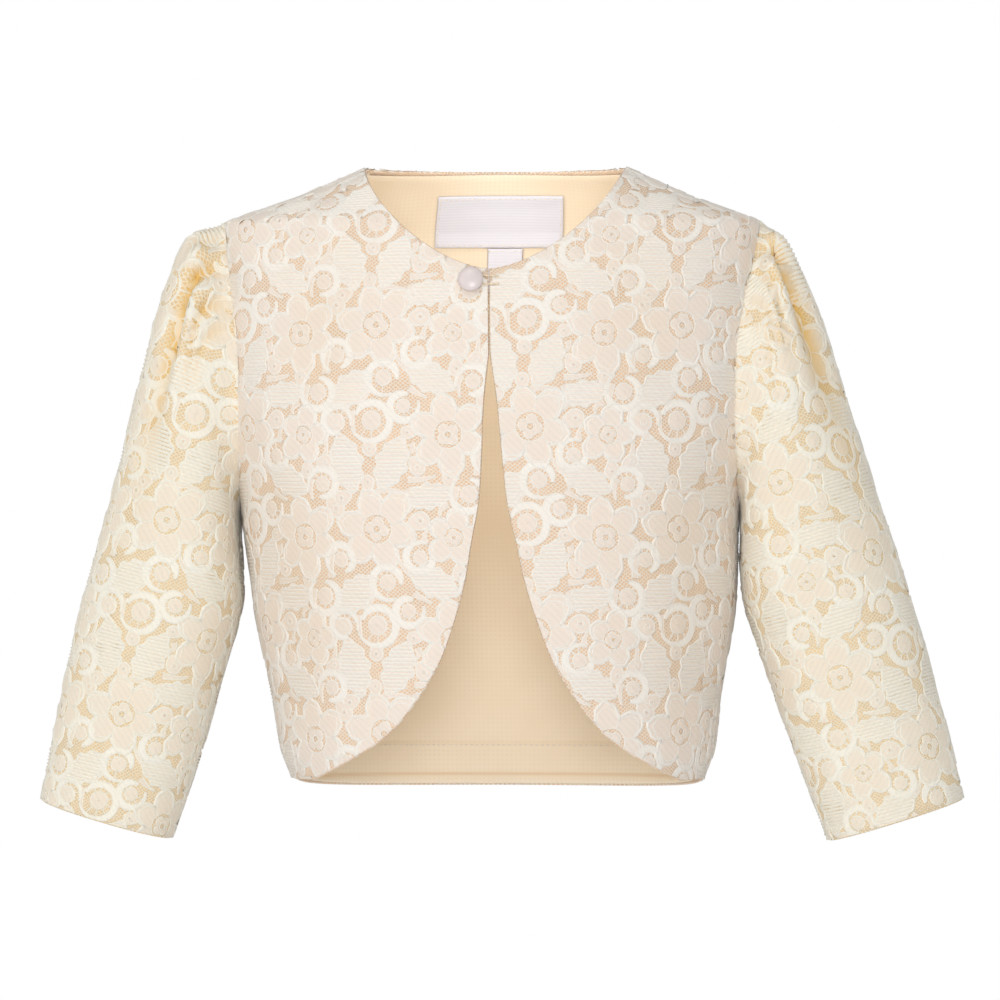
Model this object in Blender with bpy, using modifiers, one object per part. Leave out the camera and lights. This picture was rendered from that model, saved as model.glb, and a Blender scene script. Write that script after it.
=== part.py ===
"""A small child's bolero jacket of lace over a plain lining, hollow as it is worn. Metres, +Z up.

The wearer faces -Y, and the wearer's left is +X. "drop" is a distance down from the neck points,
where the shoulder seams meet the neckline. "across" is a distance round the body, measured on the
cloth from the centre front or the centre back, and + towards the wearer's left.
"""

import math

import bmesh
import bpy
import numpy as np
from mathutils import Vector

# Heights
NECK_POINT_Z = 0.014
SHOULDER_TIP_DROP = 0.0275
FRONT_NECK_DROP = 0.053
BACK_NECK_RISE = 0.0020
FRONTS_PART_DROP = 0.095
UNDERARM_DROP = 0.168
SIDE_HEM_DROP = 0.3055
FRONT_HEM_DROP = 0.3045
BACK_HEM_DROP = 0.3125

# Walls and the clearances between pieces
LACE_WALL = 0.0012
LINING_WALL = 0.0010
SEAM_GAP = 0.0003
LAYER_GAP = 0.0009
LINING_SETBACK = 0.0007

# Horizontal sections of the body, from the nape down. A section is a rounded oval about the
# side seams. "squareness" is its exponent, 2 for an ellipse, and "sway" moves it sideways.
SIDE_SEAM_Y = 0.004
TORSO_COLUMNS = ("drop", "half_width", "front_depth", "back_depth", "squareness", "sway")
TORSO_SECTIONS = (
    (-0.0040, 0.0555, 0.0440, 0.0545, 2.00, 0.0000),
    (0.0000, 0.0645, 0.0460, 0.0560, 2.00, 0.0000),
    (0.0055, 0.0780, 0.0485, 0.0590, 2.00, -0.0003),
    (0.0100, 0.0880, 0.0505, 0.0610, 2.00, -0.0006),
    (0.0145, 0.0980, 0.0530, 0.0635, 2.00, -0.0009),
    (0.0180, 0.1080, 0.0545, 0.0650, 2.00, -0.0012),
    (0.0215, 0.1180, 0.0560, 0.0665, 2.02, -0.0015),
    (0.0250, 0.1280, 0.0575, 0.0680, 2.05, -0.0018),
    (0.0275, 0.1330, 0.0585, 0.0690, 2.08, -0.0020),
    (0.0530, 0.1345, 0.0675, 0.0740, 2.15, -0.0028),
    (0.0950, 0.1340, 0.0755, 0.0780, 2.25, -0.0034),
    (0.1300, 0.1310, 0.0790, 0.0780, 2.30, -0.0034),
    (0.1680, 0.1245, 0.0790, 0.0760, 2.30, -0.0030),
    (0.2150, 0.1205, 0.0770, 0.0730, 2.30, -0.0010),
    (0.2660, 0.1115, 0.0750, 0.0710, 2.30, 0.0000),
    (0.2900, 0.1080, 0.0740, 0.0700, 2.30, 0.0006),
    (0.3040, 0.1030, 0.0720, 0.0690, 2.30, 0.0008),
    (0.3200, 0.0980, 0.0700, 0.0680, 2.30, 0.0008),
)

# The front edges: how far each lies from the line where they meet
FRONT_EDGE_COLUMNS = ("drop", "half_gap")
FRONT_EDGE = (
    (0.0950, 0.0000),
    (0.1180, 0.0029),
    (0.1470, 0.0048),
    (0.1665, 0.0065),
    (0.1860, 0.0104),
    (0.2050, 0.0140),
    (0.2245, 0.0196),
    (0.2440, 0.0268),
    (0.2630, 0.0380),
    (0.2820, 0.0540),
    (0.2950, 0.0735),
    (0.3045, 0.0905),
)
MEETING_COLUMNS = ("drop", "x")
MEETING_LINE = ((0.050, -0.0002), (0.095, 0.0006), (0.166, 0.0024), (0.260, 0.0040), (0.320, 0.0015))
NECK_HALF_WIDTH = 0.0645
NECK_CURVE_POWERS = (1.6, 1.4)

# The armhole: how far its front and back reach from the side seam, where the widest point lies
# (1 is the middle, more is lower), and how round its ends are
ARMHOLE_FRONT = {"reach": 0.035, "lowness": 1.3, "roundness": 0.52}
ARMHOLE_BACK = {"reach": 0.034, "lowness": 1.0, "roundness": 0.52}

# Soft folds of the body cloth, each from a top point to a bottom point on its panel
DRAPE_COLUMNS = ("top_across", "top_drop", "low_across", "low_drop", "width", "depth")
FRONT_DRAPES = (
    (0.118, 0.120, 0.098, 0.292, 0.020, 0.0016),
    (0.088, 0.150, 0.072, 0.270, 0.022, 0.0008),
    (0.070, 0.030, 0.092, 0.130, 0.020, 0.0010),
)
BACK_DRAPES = (
    (0.118, 0.130, 0.100, 0.300, 0.020, 0.0018),
    (0.062, 0.170, 0.048, 0.312, 0.020, 0.0014),
    (0.018, 0.060, 0.012, 0.230, 0.022, 0.0009),
    (0.080, 0.030, 0.098, 0.130, 0.018, 0.0012),
)

# Sections down each sleeve below its armhole: the outer and the inner edge as seen from the
# front, half the depth from front to back, and where its middle lies
SLEEVE_COLUMNS = ("outer_x", "outer_drop", "inner_x", "inner_drop", "half_depth", "middle_y")
SLEEVE_SECTIONS = {
    "right": (
        (0.1490, 0.0310, 0.1290, 0.1740, 0.0390, 0.003),
        (0.1635, 0.0560, 0.1290, 0.1840, 0.0410, 0.002),
        (0.1765, 0.1010, 0.1282, 0.1960, 0.0405, 0.001),
        (0.1900, 0.1550, 0.1270, 0.2130, 0.0390, -0.001),
        (0.2080, 0.2220, 0.1380, 0.2570, 0.0340, -0.004),
        (0.2195, 0.2750, 0.1510, 0.3030, 0.0290, -0.007),
        (0.2270, 0.3160, 0.1620, 0.3350, 0.0265, -0.009),
    ),
    "left": (
        (0.1390, 0.0320, 0.1225, 0.1740, 0.0390, 0.003),
        (0.1535, 0.0560, 0.1225, 0.1840, 0.0405, 0.002),
        (0.1695, 0.1010, 0.1220, 0.1960, 0.0400, 0.001),
        (0.1870, 0.1550, 0.1232, 0.2120, 0.0390, -0.001),
        (0.2085, 0.2220, 0.1370, 0.2560, 0.0345, -0.004),
        (0.2230, 0.2750, 0.1530, 0.3010, 0.0295, -0.007),
        (0.2325, 0.3140, 0.1660, 0.3350, 0.0270, -0.009),
    ),
}
SLEEVE_SQUARENESS = 2.15

# Gathers of the sleeve head. Each is a trough that starts at the seam and fades down the sleeve.
# "place" is the share of the way from the shoulder tip round to the underarm, + to the front,
# and "drift" is how far the trough moves round as it runs down, as a share.
GATHER_COLUMNS = ("place", "drift", "depth", "length")
GATHERS = (
    (-0.340, -0.10, 0.0026, 0.050),
    (-0.250, -0.08, 0.0038, 0.085),
    (-0.155, -0.04, 0.0044, 0.115),
    (-0.065, 0.00, 0.0034, 0.060),
    (0.015, 0.00, 0.0028, 0.040),
    (0.090, 0.02, 0.0038, 0.032),
    (0.165, 0.07, 0.0056, 0.125),
    (0.245, 0.13, 0.0044, 0.060),
    (0.325, 0.15, 0.0022, 0.045),
)
GATHER_WIDTH_AT_SEAM = 0.0056
GATHER_WIDENING = 0.060
GATHER_ONSET = 0.008
GATHER_PUFF = 0.0014
DRIFT_LENGTH = 0.045

# Rows of the sleeve's mesh, by distance from the armhole along its outer edge
SLEEVE_ROWS = (0, 0.005, 0.010, 0.016, 0.024, 0.034, 0.047, 0.063, 0.082, 0.104, 0.128,
               0.153, 0.178, 0.203, 0.228, 0.253, 0.278, 1.0)
PLAIN_SLEEVE_STEPS = 11

# Meshes of the panels: steps across, steps down to the underarm, steps below it
PANEL_STEPS = {"neckline": 9, "shoulder": 5, "upper": 13, "lower": 6}
TOP_CROWDING = 0.85
ARMHOLE_ACROSS_WEIGHT = 0.55

# Label and size tab, sewn to the lining below the back of the neck
LABEL_WIDTH = 0.067
LABEL_HEIGHT = 0.027
LABEL_TOP_DROP = 0.0085
LABEL_WALL = 0.0010
TAB_WIDTH = 0.0185
TAB_HEIGHT = 0.023
TAB_ACROSS = 0.0035

# Button on the wearer's right front, and the loop that holds it
BUTTON_RADIUS = 0.0061
BUTTON_HEIGHT = 0.0048
BUTTON_X = -0.0088
BUTTON_DROP = 0.0590
SHANK_RADIUS = 0.0013
SHANK_HEIGHT = 0.0022
LOOP_THICKNESS = 0.0010
LOOP_CLEARANCE = 0.0006
LOOP_ROOT = 0.0050

# Colours as linear RGB, roughness
COLOURS = {
    "lace": ((0.83, 0.73, 0.60), 0.85),
    "sleeve_lace": ((0.80, 0.70, 0.52), 0.85),
    "lining": ((0.73, 0.56, 0.38), 0.80),
    "label": ((0.80, 0.76, 0.80), 0.60),
    "button": ((0.78, 0.70, 0.70), 0.25),
    "loop": ((0.80, 0.68, 0.52), 0.70),
}

FINE_LEVELS = 150
FINE_ANGLES = 241
SLOPE_STEP = 0.0004


def smooth(table, columns, wanted, at):
    """A column of a table at some values of its first column, by a cubic that never overshoots."""
    rows = np.array(table, float)
    x = rows[:, 0]
    y = rows[:, columns.index(wanted)]
    at = np.clip(np.asarray(at, float), x[0], x[-1])
    step = np.diff(x)
    rise = np.diff(y) / step
    slope = np.zeros(len(x))
    slope[0] = rise[0]
    slope[-1] = rise[-1]
    same_way = rise[:-1] * rise[1:] > 0
    weight_a = 2 * step[1:] + step[:-1]
    weight_b = step[1:] + 2 * step[:-1]
    mean = (weight_a + weight_b) / (
        weight_a / np.where(same_way, rise[:-1], 1) + weight_b / np.where(same_way, rise[1:], 1)
    )
    slope[1:-1] = np.where(same_way, mean, 0)
    i = np.clip(np.searchsorted(x, at, side="right") - 1, 0, len(x) - 2)
    h = step[i]
    t = (at - x[i]) / h
    return (
        y[i] * (1 + 2 * t) * (1 - t) ** 2
        + slope[i] * h * t * (1 - t) ** 2
        + y[i + 1] * t * t * (3 - 2 * t)
        + slope[i + 1] * h * t * t * (t - 1)
    )


def torso(wanted, drop):
    return smooth(TORSO_SECTIONS, TORSO_COLUMNS, wanted, drop)


def section(drop, angle, depth):
    """Points of the body's horizontal section, angle 0 at the centre and a right angle at the side."""
    power = 2 / torso("squareness", drop)
    x = torso("half_width", drop) * np.abs(np.sin(angle)) ** power
    y = depth * np.abs(np.cos(angle)) ** power
    return x, y


class Panel:
    """Half of the body's front or back as a table of points: by drop, and by share of the way round."""

    def __init__(self, side):
        self.toward = -1 if side == "front" else 1
        top, low = TORSO_SECTIONS[0][0], TORSO_SECTIONS[-1][0]
        yoke = np.linspace(top, 0.03, FINE_LEVELS // 3, endpoint=False)
        self.drops = np.concatenate([yoke, np.linspace(0.03, low, FINE_LEVELS)])
        angle = np.linspace(0, math.pi / 2, FINE_ANGLES)
        shares = np.linspace(0, 1, FINE_ANGLES)
        self.x = np.zeros((len(self.drops), FINE_ANGLES))
        self.y = np.zeros_like(self.x)
        self.quarter = np.zeros(len(self.drops))
        for i, drop in enumerate(self.drops):
            x, y = section(drop, angle, torso(side + "_depth", drop))
            arc = np.concatenate([[0], np.cumsum(np.hypot(np.diff(x), np.diff(y)))])
            self.quarter[i] = arc[-1]
            self.x[i] = np.interp(shares, arc / arc[-1], x)
            self.y[i] = np.interp(shares, arc / arc[-1], y)
        self.sway = torso("sway", self.drops)
        self.drapes = FRONT_DRAPES if side == "front" else BACK_DRAPES

    def side_across(self, drop):
        """How far round the side seam lies from the centre."""
        return np.interp(drop, self.drops, self.quarter)

    def plain(self, across, drop):
        share = np.clip(np.abs(across) / self.side_across(drop), 0, 1) * (FINE_ANGLES - 1)
        level = np.interp(drop, self.drops, np.arange(len(self.drops)))
        i = np.clip(level.astype(int), 0, len(self.drops) - 2)
        j = np.clip(share.astype(int), 0, FINE_ANGLES - 2)
        s = level - i
        t = share - j
        found = []
        for table in (self.x, self.y):
            low = table[i, j] * (1 - t) + table[i, j + 1] * t
            high = table[i + 1, j] * (1 - t) + table[i + 1, j + 1] * t
            found.append(low * (1 - s) + high * s)
        x, y = found
        x = x * np.sign(across) + np.interp(drop, self.drops, self.sway)
        return np.stack([x, SIDE_SEAM_Y + self.toward * y, NECK_POINT_Z - drop], axis=-1)

    def normal(self, across, drop):
        # Both steps turn inwards at the edges, so that none leaves the table.
        edge = self.side_across(drop) - SLOPE_STEP
        mid = np.clip(across, -edge, edge)
        low = np.clip(drop, self.drops[0] + SLOPE_STEP, self.drops[-1] - SLOPE_STEP)
        round_it = self.plain(mid + SLOPE_STEP, low) - self.plain(mid - SLOPE_STEP, low)
        down = self.plain(mid, low + SLOPE_STEP) - self.plain(mid, low - SLOPE_STEP)
        out = np.cross(round_it, down) * self.toward
        return out / np.linalg.norm(out, axis=-1, keepdims=True)

    def fold_depth(self, across, drop):
        """How far the soft folds lie inside the plain surface."""
        total = np.zeros_like(across)
        for top_across, top_drop, low_across, low_drop, width, depth in self.drapes:
            t = (drop - top_drop) / (low_drop - top_drop)
            line = top_across + (low_across - top_across) * t
            fade = np.clip(np.sin(np.clip(t, 0, 1) * math.pi), 0, 1) ** 0.7
            total += depth * fade * np.exp(-(((np.abs(across) - line) / width) ** 2))
        return total

    def at(self, across, drop, depth=0.0):
        """Points of the cloth, moved in by a depth."""
        across = np.asarray(across, float)
        drop = np.asarray(drop, float)
        normal = self.normal(across, drop)
        inward = self.fold_depth(across, drop) + depth
        return self.plain(across, drop) - normal * inward[..., None]

    def across_of_x(self, x, drop):
        """How far round from the centre a point lies that is x from the middle plane."""
        level = np.interp(drop, self.drops, np.arange(len(self.drops)))
        i = min(int(level), len(self.drops) - 2)
        row = self.x[i] * (1 - (level - i)) + self.x[i + 1] * (level - i)
        x -= float(np.interp(drop, self.drops, self.sway))
        share = np.interp(abs(x), row, np.linspace(0, 1, FINE_ANGLES))
        return math.copysign(share * float(self.side_across(drop)), x)

    def across_of_reach(self, reach, drop):
        """How far round from the centre a point lies whose depth is this near the side seam."""
        level = np.interp(drop, self.drops, np.arange(len(self.drops)))
        i = min(int(level), len(self.drops) - 2)
        row = self.y[i] * (1 - (level - i)) + self.y[i + 1] * (level - i)
        share = np.interp(reach, row[::-1], np.linspace(1, 0, FINE_ANGLES))
        return share * float(self.side_across(drop))


FRONT = Panel("front")
BACK = Panel("back")


def armhole_across(panel, shape, t):
    """The armhole's place on a panel, t from 0 at the shoulder tip to 1 at the underarm."""
    drop = SHOULDER_TIP_DROP + (UNDERARM_DROP - SHOULDER_TIP_DROP) * t
    reach = shape["reach"] * max(0.0, math.sin(math.pi * t ** shape["lowness"])) ** shape["roundness"]
    return panel.across_of_reach(reach, drop), drop


def spaced(line, count, squeeze=1.0, across_weight=1.0):
    """count + 1 points along a line of (across, drop), a squeeze under 1 crowding them to its end.

    An across_weight under 1 spaces them more by their drop than by their distance.
    """
    line = np.array(line, float)
    step = np.diff(line, axis=0) * (across_weight, 1.0)
    along = np.concatenate([[0], np.cumsum(np.linalg.norm(step, axis=1))])
    at = along[-1] * np.linspace(0, 1, count + 1) ** squeeze
    return np.stack([np.interp(at, along, line[:, k]) for k in (0, 1)], axis=1)


def side_line(panel, shape, hem_drop, inset):
    """The side of a half panel from the hem up: side seam, then armhole."""
    seam = [(panel.side_across(d) - inset, d) for d in np.linspace(hem_drop, UNDERARM_DROP, 30)]
    # The points crowd towards both ends of the armhole, where it turns fastest.
    turns = (1 - np.cos(np.linspace(0, math.pi, 60))) / 2
    hole = [armhole_across(panel, shape, t) for t in turns[::-1]]
    hole = [(min(a, panel.side_across(d) - inset) - inset, d) for a, d in hole]
    upper = spaced(hole, PANEL_STEPS["upper"], TOP_CROWDING, ARMHOLE_ACROSS_WEIGHT)
    return np.concatenate([spaced(seam, PANEL_STEPS["lower"]), upper[1:]])


def top_line(panel, neckline, inset):
    """The top of a half panel from the centre out: neckline, then shoulder seam."""
    shoulder = [
        (panel.side_across(d) - inset, d) for d in np.linspace(0, SHOULDER_TIP_DROP, 30)
    ]
    neckline = [*neckline, shoulder[0]]
    return np.concatenate(
        [spaced(neckline, PANEL_STEPS["neckline"]), spaced(shoulder, PANEL_STEPS["shoulder"])[1:]]
    )


def patch(bottom, top, left, right):
    """A grid of (across, drop) filling the outline of four lines that share their corners."""
    u = np.linspace(0, 1, len(bottom))[None, :, None]
    v = np.linspace(0, 1, len(left))[:, None, None]
    corners = (
        (1 - u) * (1 - v) * bottom[0]
        + u * (1 - v) * bottom[-1]
        + (1 - u) * v * top[0]
        + u * v * top[-1]
    )
    return (
        (1 - v) * bottom[None]
        + v * top[None]
        + (1 - u) * left[:, None]
        + u * right[:, None]
        - corners
    )


def meeting_x(drop):
    return float(smooth(MEETING_LINE, MEETING_COLUMNS, "x", drop))


def front_grid(side, inset):
    """The wearer's left or right front as a grid of (across, drop) from its front edge out."""
    out = 1 if side == "left" else -1
    power_x, power_drop = NECK_CURVE_POWERS

    def edge(drop):
        gap = max(float(smooth(FRONT_EDGE, FRONT_EDGE_COLUMNS, "half_gap", drop)), 0.0)
        x = meeting_x(drop) + out * (gap + SEAM_GAP / 2 + inset)
        return out * FRONT.across_of_x(x, drop), drop

    def neck(x):
        share = min(abs(x) / NECK_HALF_WIDTH, 1.0)
        drop = FRONT_NECK_DROP * (1 - share**power_x) ** (1 / power_drop) + inset
        return out * FRONT.across_of_x(out * x, drop), drop

    hem_drop = FRONT_HEM_DROP - inset
    # The front edge is crowded at its foot, where it curves fastest.
    upright = [edge(d) for d in np.linspace(hem_drop, FRONT_NECK_DROP + inset, 120)]
    left = spaced(upright, PANEL_STEPS["lower"] + PANEL_STEPS["upper"], TOP_CROWDING)
    start_x = out * meeting_x(FRONT_NECK_DROP) + SEAM_GAP / 2 + inset
    reach = np.linspace(0, 1, 60)
    xs = start_x + (NECK_HALF_WIDTH - start_x) * (1 - (1 - reach) ** 1.6)
    neckline = [left[-1], *[neck(x) for x in xs[1:-1]]]
    top = top_line(FRONT, neckline, SEAM_GAP / 2)
    right = side_line(FRONT, ARMHOLE_FRONT, SIDE_HEM_DROP - inset, SEAM_GAP / 2)
    right[-1] = top[-1]
    bottom = spaced([left[0], right[0]], len(top) - 1)
    # The hem's drop rises towards the side seam in a soft curve.
    share = np.linspace(0, 1, len(bottom))
    bottom[:, 1] = left[0, 1] + (right[0, 1] - left[0, 1]) * share**1.5
    grid = patch(bottom, top, left, right)
    grid[..., 0] *= out
    return grid


def back_grid(inset):
    """The whole back as a grid of (across, drop), from the wearer's right to the left."""
    edge = float(BACK.side_across(0.0))
    shares = np.linspace(0, 1, 40, endpoint=False)
    neckline = [(edge * s, inset - BACK_NECK_RISE * (1 - s * s)) for s in shares]
    top = top_line(BACK, neckline, SEAM_GAP / 2)
    right = side_line(BACK, ARMHOLE_BACK, SIDE_HEM_DROP - inset, SEAM_GAP / 2)
    right[-1] = top[-1]
    centre = [(0.0, d) for d in np.linspace(BACK_HEM_DROP - inset, UNDERARM_DROP, 20)]
    above = [(0.0, d) for d in np.linspace(UNDERARM_DROP, top[0, 1], 20)]
    left = np.concatenate(
        [spaced(centre, PANEL_STEPS["lower"]), spaced(above, PANEL_STEPS["upper"], TOP_CROWDING)[1:]]
    )
    bottom = spaced([left[0], right[0]], len(top) - 1)
    dip = BACK_HEM_DROP - SIDE_HEM_DROP
    share = np.linspace(0, 1, len(bottom))
    bottom[:, 1] = SIDE_HEM_DROP - inset + dip * (1 - share**4)
    half = patch(bottom, top, left, right)
    mirrored = half[:, :0:-1].copy()
    mirrored[..., 0] *= -1
    return np.concatenate([mirrored, half], axis=1)


def armhole_ring(side, shares):
    """Points round an armhole, share 0 at the shoulder tip, 1 at the underarm, + to the front."""
    out = 1 if side == "left" else -1
    turns = (1 - np.cos(np.linspace(0, math.pi, 200))) / 2
    points = np.zeros((len(shares), 3))
    normals = np.zeros((len(shares), 3))
    away = np.zeros((len(shares), 3))
    for panel, shape, branch in ((FRONT, ARMHOLE_FRONT, shares >= 0), (BACK, ARMHOLE_BACK, shares < 0)):
        line = np.array([armhole_across(panel, shape, t) for t in turns])
        line[:, 0] = np.minimum(line[:, 0], panel.side_across(line[:, 1]) - SEAM_GAP / 2)
        across = out * line[:, 0]
        curve = panel.at(across, line[:, 1])
        along = np.concatenate([[0], np.cumsum(np.linalg.norm(np.diff(curve, axis=0), axis=1))])
        normal = panel.normal(across, line[:, 1])
        tangent = np.gradient(curve, along, axis=0)
        outward = np.cross(tangent, normal)
        middle = curve.mean(0)
        flip = np.sign(((middle - curve) * outward).sum(1, keepdims=True))
        outward = outward * np.where(flip == 0, 1, flip)
        outward /= np.linalg.norm(outward, axis=1, keepdims=True)
        at = np.abs(shares[branch]) * along[-1]
        for k in range(3):
            points[branch, k] = np.interp(at, along, curve[:, k])
            normals[branch, k] = np.interp(at, along, normal[:, k])
            away[branch, k] = np.interp(at, along, outward[:, k])
    return points + SEAM_GAP * normals + SEAM_GAP * away


def sleeve_ring(row, shares, out):
    """Points round a sleeve at one section, spaced equally along its rim."""
    outer_x, outer_drop, inner_x, inner_drop, half_depth, middle_y = row
    outer = np.array([out * outer_x, middle_y, NECK_POINT_Z - outer_drop])
    inner = np.array([out * inner_x, middle_y, NECK_POINT_Z - inner_drop])
    middle = (outer + inner) / 2
    angle = np.linspace(0, math.pi, 181)
    power = 2 / SLEEVE_SQUARENESS
    cos = np.sign(np.cos(angle)) * np.abs(np.cos(angle)) ** power
    sin = np.abs(np.sin(angle)) ** power
    half = middle + cos[:, None] * (outer - inner) / 2 - sin[:, None] * np.array([0, half_depth, 0])
    along = np.concatenate([[0], np.cumsum(np.linalg.norm(np.diff(half, axis=0), axis=1))])
    at = np.abs(shares) * along[-1]
    ring = np.stack([np.interp(at, along, half[:, k]) for k in range(3)], axis=1)
    ring[:, 1] = middle_y + (ring[:, 1] - middle_y) * np.where(shares >= 0, 1, -1)
    return ring


def sleeve_shares():
    """Places round a sleeve: four steps to each gather, and plain steps under the arm."""
    places = [g[0] for g in GATHERS]
    middles = [(a + b) / 2 for a, b in zip(places, places[1:])]
    ends = [2 * places[0] - middles[0], 2 * places[-1] - middles[-1]]
    turns = sorted(places + middles + ends)
    fine = []
    for a, b in zip(turns, turns[1:]):
        fine += [a, (a + b) / 2]
    fine.append(turns[-1])
    under = np.linspace(fine[-1], 2 + fine[0], PLAIN_SLEEVE_STEPS + 2)[1:-1]
    return np.array([*fine, *under])


def gather_drift(shares):
    """How far the cloth's threads move round the sleeve as they run down, as a share."""
    places = [-0.75, *[g[0] for g in GATHERS], 0.85, 1.25]
    drifts = [0.0, *[g[1] for g in GATHERS], 0.0, 0.0]
    return smooth(list(zip(places, drifts)), ("place", "drift"), "drift", shares)


def gather_height(share, distance, half_rim):
    """How far the gathers move the sleeve's cloth out, at a distance down from the seam."""
    height = np.zeros(np.broadcast(share, distance).shape)
    onset = 1 - np.exp(-((distance / GATHER_ONSET) ** 1.5))
    width = GATHER_WIDTH_AT_SEAM + GATHER_WIDENING * distance
    for place, _, depth, length in GATHERS:
        fade = np.exp(-((distance / length) ** 2))
        far = (share - place) * half_rim / width
        height -= depth * onset * fade * np.exp(-far * far)
    first, last = GATHERS[0][0], GATHERS[-1][0]
    inside = 1 / (1 + np.exp((np.abs(share - (first + last) / 2) - (last - first) / 2) / 0.03))
    height += GATHER_PUFF * inside * onset * np.exp(-((distance / 0.09) ** 2))
    return height


def sleeve_grid(side):
    """The sleeve's outer surface as rings of points from the armhole to the cuff."""
    out = 1 if side == "left" else -1
    fine = np.linspace(-1, 1, 161)
    rings = [armhole_ring(side, fine)]
    rings += [sleeve_ring(row, fine, out) for row in SLEEVE_SECTIONS[side]]
    rings = np.array(rings)
    steps = np.linalg.norm(np.diff(rings, axis=0), axis=2)
    along = np.concatenate([np.zeros((1, len(fine))), np.cumsum(steps, axis=0)])
    top = len(fine) // 2
    outer_length = along[-1, top]
    rows = np.array([r if r < 1 else outer_length for r in SLEEVE_ROWS]) / outer_length
    knots = along[:, top] / outer_length
    dense = np.zeros((len(rows), len(fine), 3))
    for j in range(len(fine)):
        for k in range(3):
            table = list(zip(knots, rings[:, j, k]))
            dense[:, j, k] = smooth(table, ("knot", "value"), "value", rows)
    shares = sleeve_shares()
    drift = gather_drift(shares)
    distance = rows * outer_length
    moved = shares + drift * (1 - np.exp(-distance[:, None] / DRIFT_LENGTH))
    moved = (moved + 1) % 2 - 1
    grid = np.zeros((len(rows), len(shares), 3))
    for i in range(len(rows)):
        for k in range(3):
            grid[i, :, k] = np.interp(moved[i], fine, dense[i, :, k])
    half_rim = np.linalg.norm(np.roll(grid, -1, axis=1) - grid, axis=2).sum(1)[:, None] / 2
    height = gather_height(shares[None, :], distance[:, None], half_rim)
    return grid + ring_normals(grid, out) * height[..., None]


def ring_normals(grid, out):
    """Outward normals of a sleeve's rings, which go from the back over the top to the front."""
    round_it = np.roll(grid, -1, axis=1) - np.roll(grid, 1, axis=1)
    down = np.gradient(grid, axis=0)
    normal = np.cross(round_it, down) * out
    return normal / np.linalg.norm(normal, axis=2, keepdims=True)


def wall_mesh(name, outer, inner, turned, closed=False):
    """One closed wall between two grids of points with the same rows and columns.

    "turned" tells for each square which way it is split, the same for all the layers, so that
    their facets lie side by side.
    """
    rows, columns = outer.shape[:2]
    points = np.concatenate([outer.reshape(-1, 3), inner.reshape(-1, 3)])
    shift = rows * columns
    faces = []
    wide = columns if closed else columns - 1
    for i in range(rows - 1):
        for j in range(wide):
            k = (j + 1) % columns
            a, b, c, d = i * columns + j, i * columns + k, (i + 1) * columns + k, (i + 1) * columns + j
            halves = [(a, b, d), (b, c, d)] if turned[i, j] else [(a, b, c), (a, c, d)]
            faces += halves
            faces += [tuple(n + shift for n in reversed(half)) for half in halves]
    rim = [[i * columns + j for j in range(columns)] for i in (0, rows - 1)]
    if closed:
        rims = [rim[0] + rim[0][:1], (rim[1] + rim[1][:1])[::-1]]
    else:
        right = [i * columns + columns - 1 for i in range(rows)]
        left = [i * columns for i in range(rows)]
        rims = [rim[0] + right[1:] + rim[1][::-1][1:] + left[::-1][1:]]
    for line in rims:
        for a, b in zip(line, line[1:]):
            faces.append((b, a, a + shift, b + shift))
    mesh = bpy.data.meshes.new(name)
    mesh.from_pydata([tuple(p) for p in points], [], faces)
    tidy = bmesh.new()
    tidy.from_mesh(mesh)
    bmesh.ops.recalc_face_normals(tidy, faces=tidy.faces)
    bmesh.ops.triangulate(tidy, faces=tidy.faces)
    if tidy.calc_volume(signed=True) < 0:
        bmesh.ops.reverse_faces(tidy, faces=tidy.faces)
    tidy.to_mesh(mesh)
    tidy.free()
    return mesh


def material(name):
    colour, roughness = COLOURS[name]
    made = bpy.data.materials.get(name) or bpy.data.materials.new(name)
    made.use_nodes = True
    surface = made.node_tree.nodes["Principled BSDF"]
    surface.inputs["Base Color"].default_value = (*colour, 1)
    surface.inputs["Roughness"].default_value = roughness
    surface.inputs["Metallic"].default_value = 0.0
    return made


def place(name, mesh, finish, collection):
    mesh.materials.append(material(finish))
    made = bpy.data.objects.new(name, mesh)
    collection.objects.link(made)
    mesh.shade_smooth()
    mesh.set_sharp_from_angle(angle=math.radians(50))
    return made


def flatter_diagonals(panel, grid):
    """For each square of a grid, whether its second diagonal strays less from the true surface."""
    strays = []
    for one, other in (
        (grid[:-1, :-1], grid[1:, 1:]),
        (grid[:-1, 1:], grid[1:, :-1]),
    ):
        middle = (one + other) / 2
        chord = (panel.at(one[..., 0], one[..., 1]) + panel.at(other[..., 0], other[..., 1])) / 2
        strays.append(np.linalg.norm(chord - panel.at(middle[..., 0], middle[..., 1]), axis=-1))
    return strays[1] < strays[0]


def panel_wall(name, panel, grid, turned, depth, wall, finish, collection):
    outer = panel.at(grid[..., 0], grid[..., 1], depth)
    inner = panel.at(grid[..., 0], grid[..., 1], depth + wall)
    return place(name, wall_mesh(name, outer, inner, turned), finish, collection)


def make_fronts(collection):
    for side in ("left", "right"):
        grid = front_grid(side, 0.0)
        turned = flatter_diagonals(FRONT, grid)
        panel_wall("front_" + side, FRONT, grid, turned, 0.0, LACE_WALL, "lace", collection)
        grid = front_grid(side, LINING_SETBACK)
        depth = LACE_WALL + LAYER_GAP
        name = "lining_front_" + side
        panel_wall(name, FRONT, grid, turned, depth, LINING_WALL, "lining", collection)


def make_back(collection):
    grid = back_grid(0.0)
    turned = flatter_diagonals(BACK, grid)
    panel_wall("back", BACK, grid, turned, 0.0, LACE_WALL, "lace", collection)
    grid = back_grid(LINING_SETBACK)
    depth = LACE_WALL + LAYER_GAP
    panel_wall("lining_back", BACK, grid, turned, depth, LINING_WALL, "lining", collection)


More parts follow.
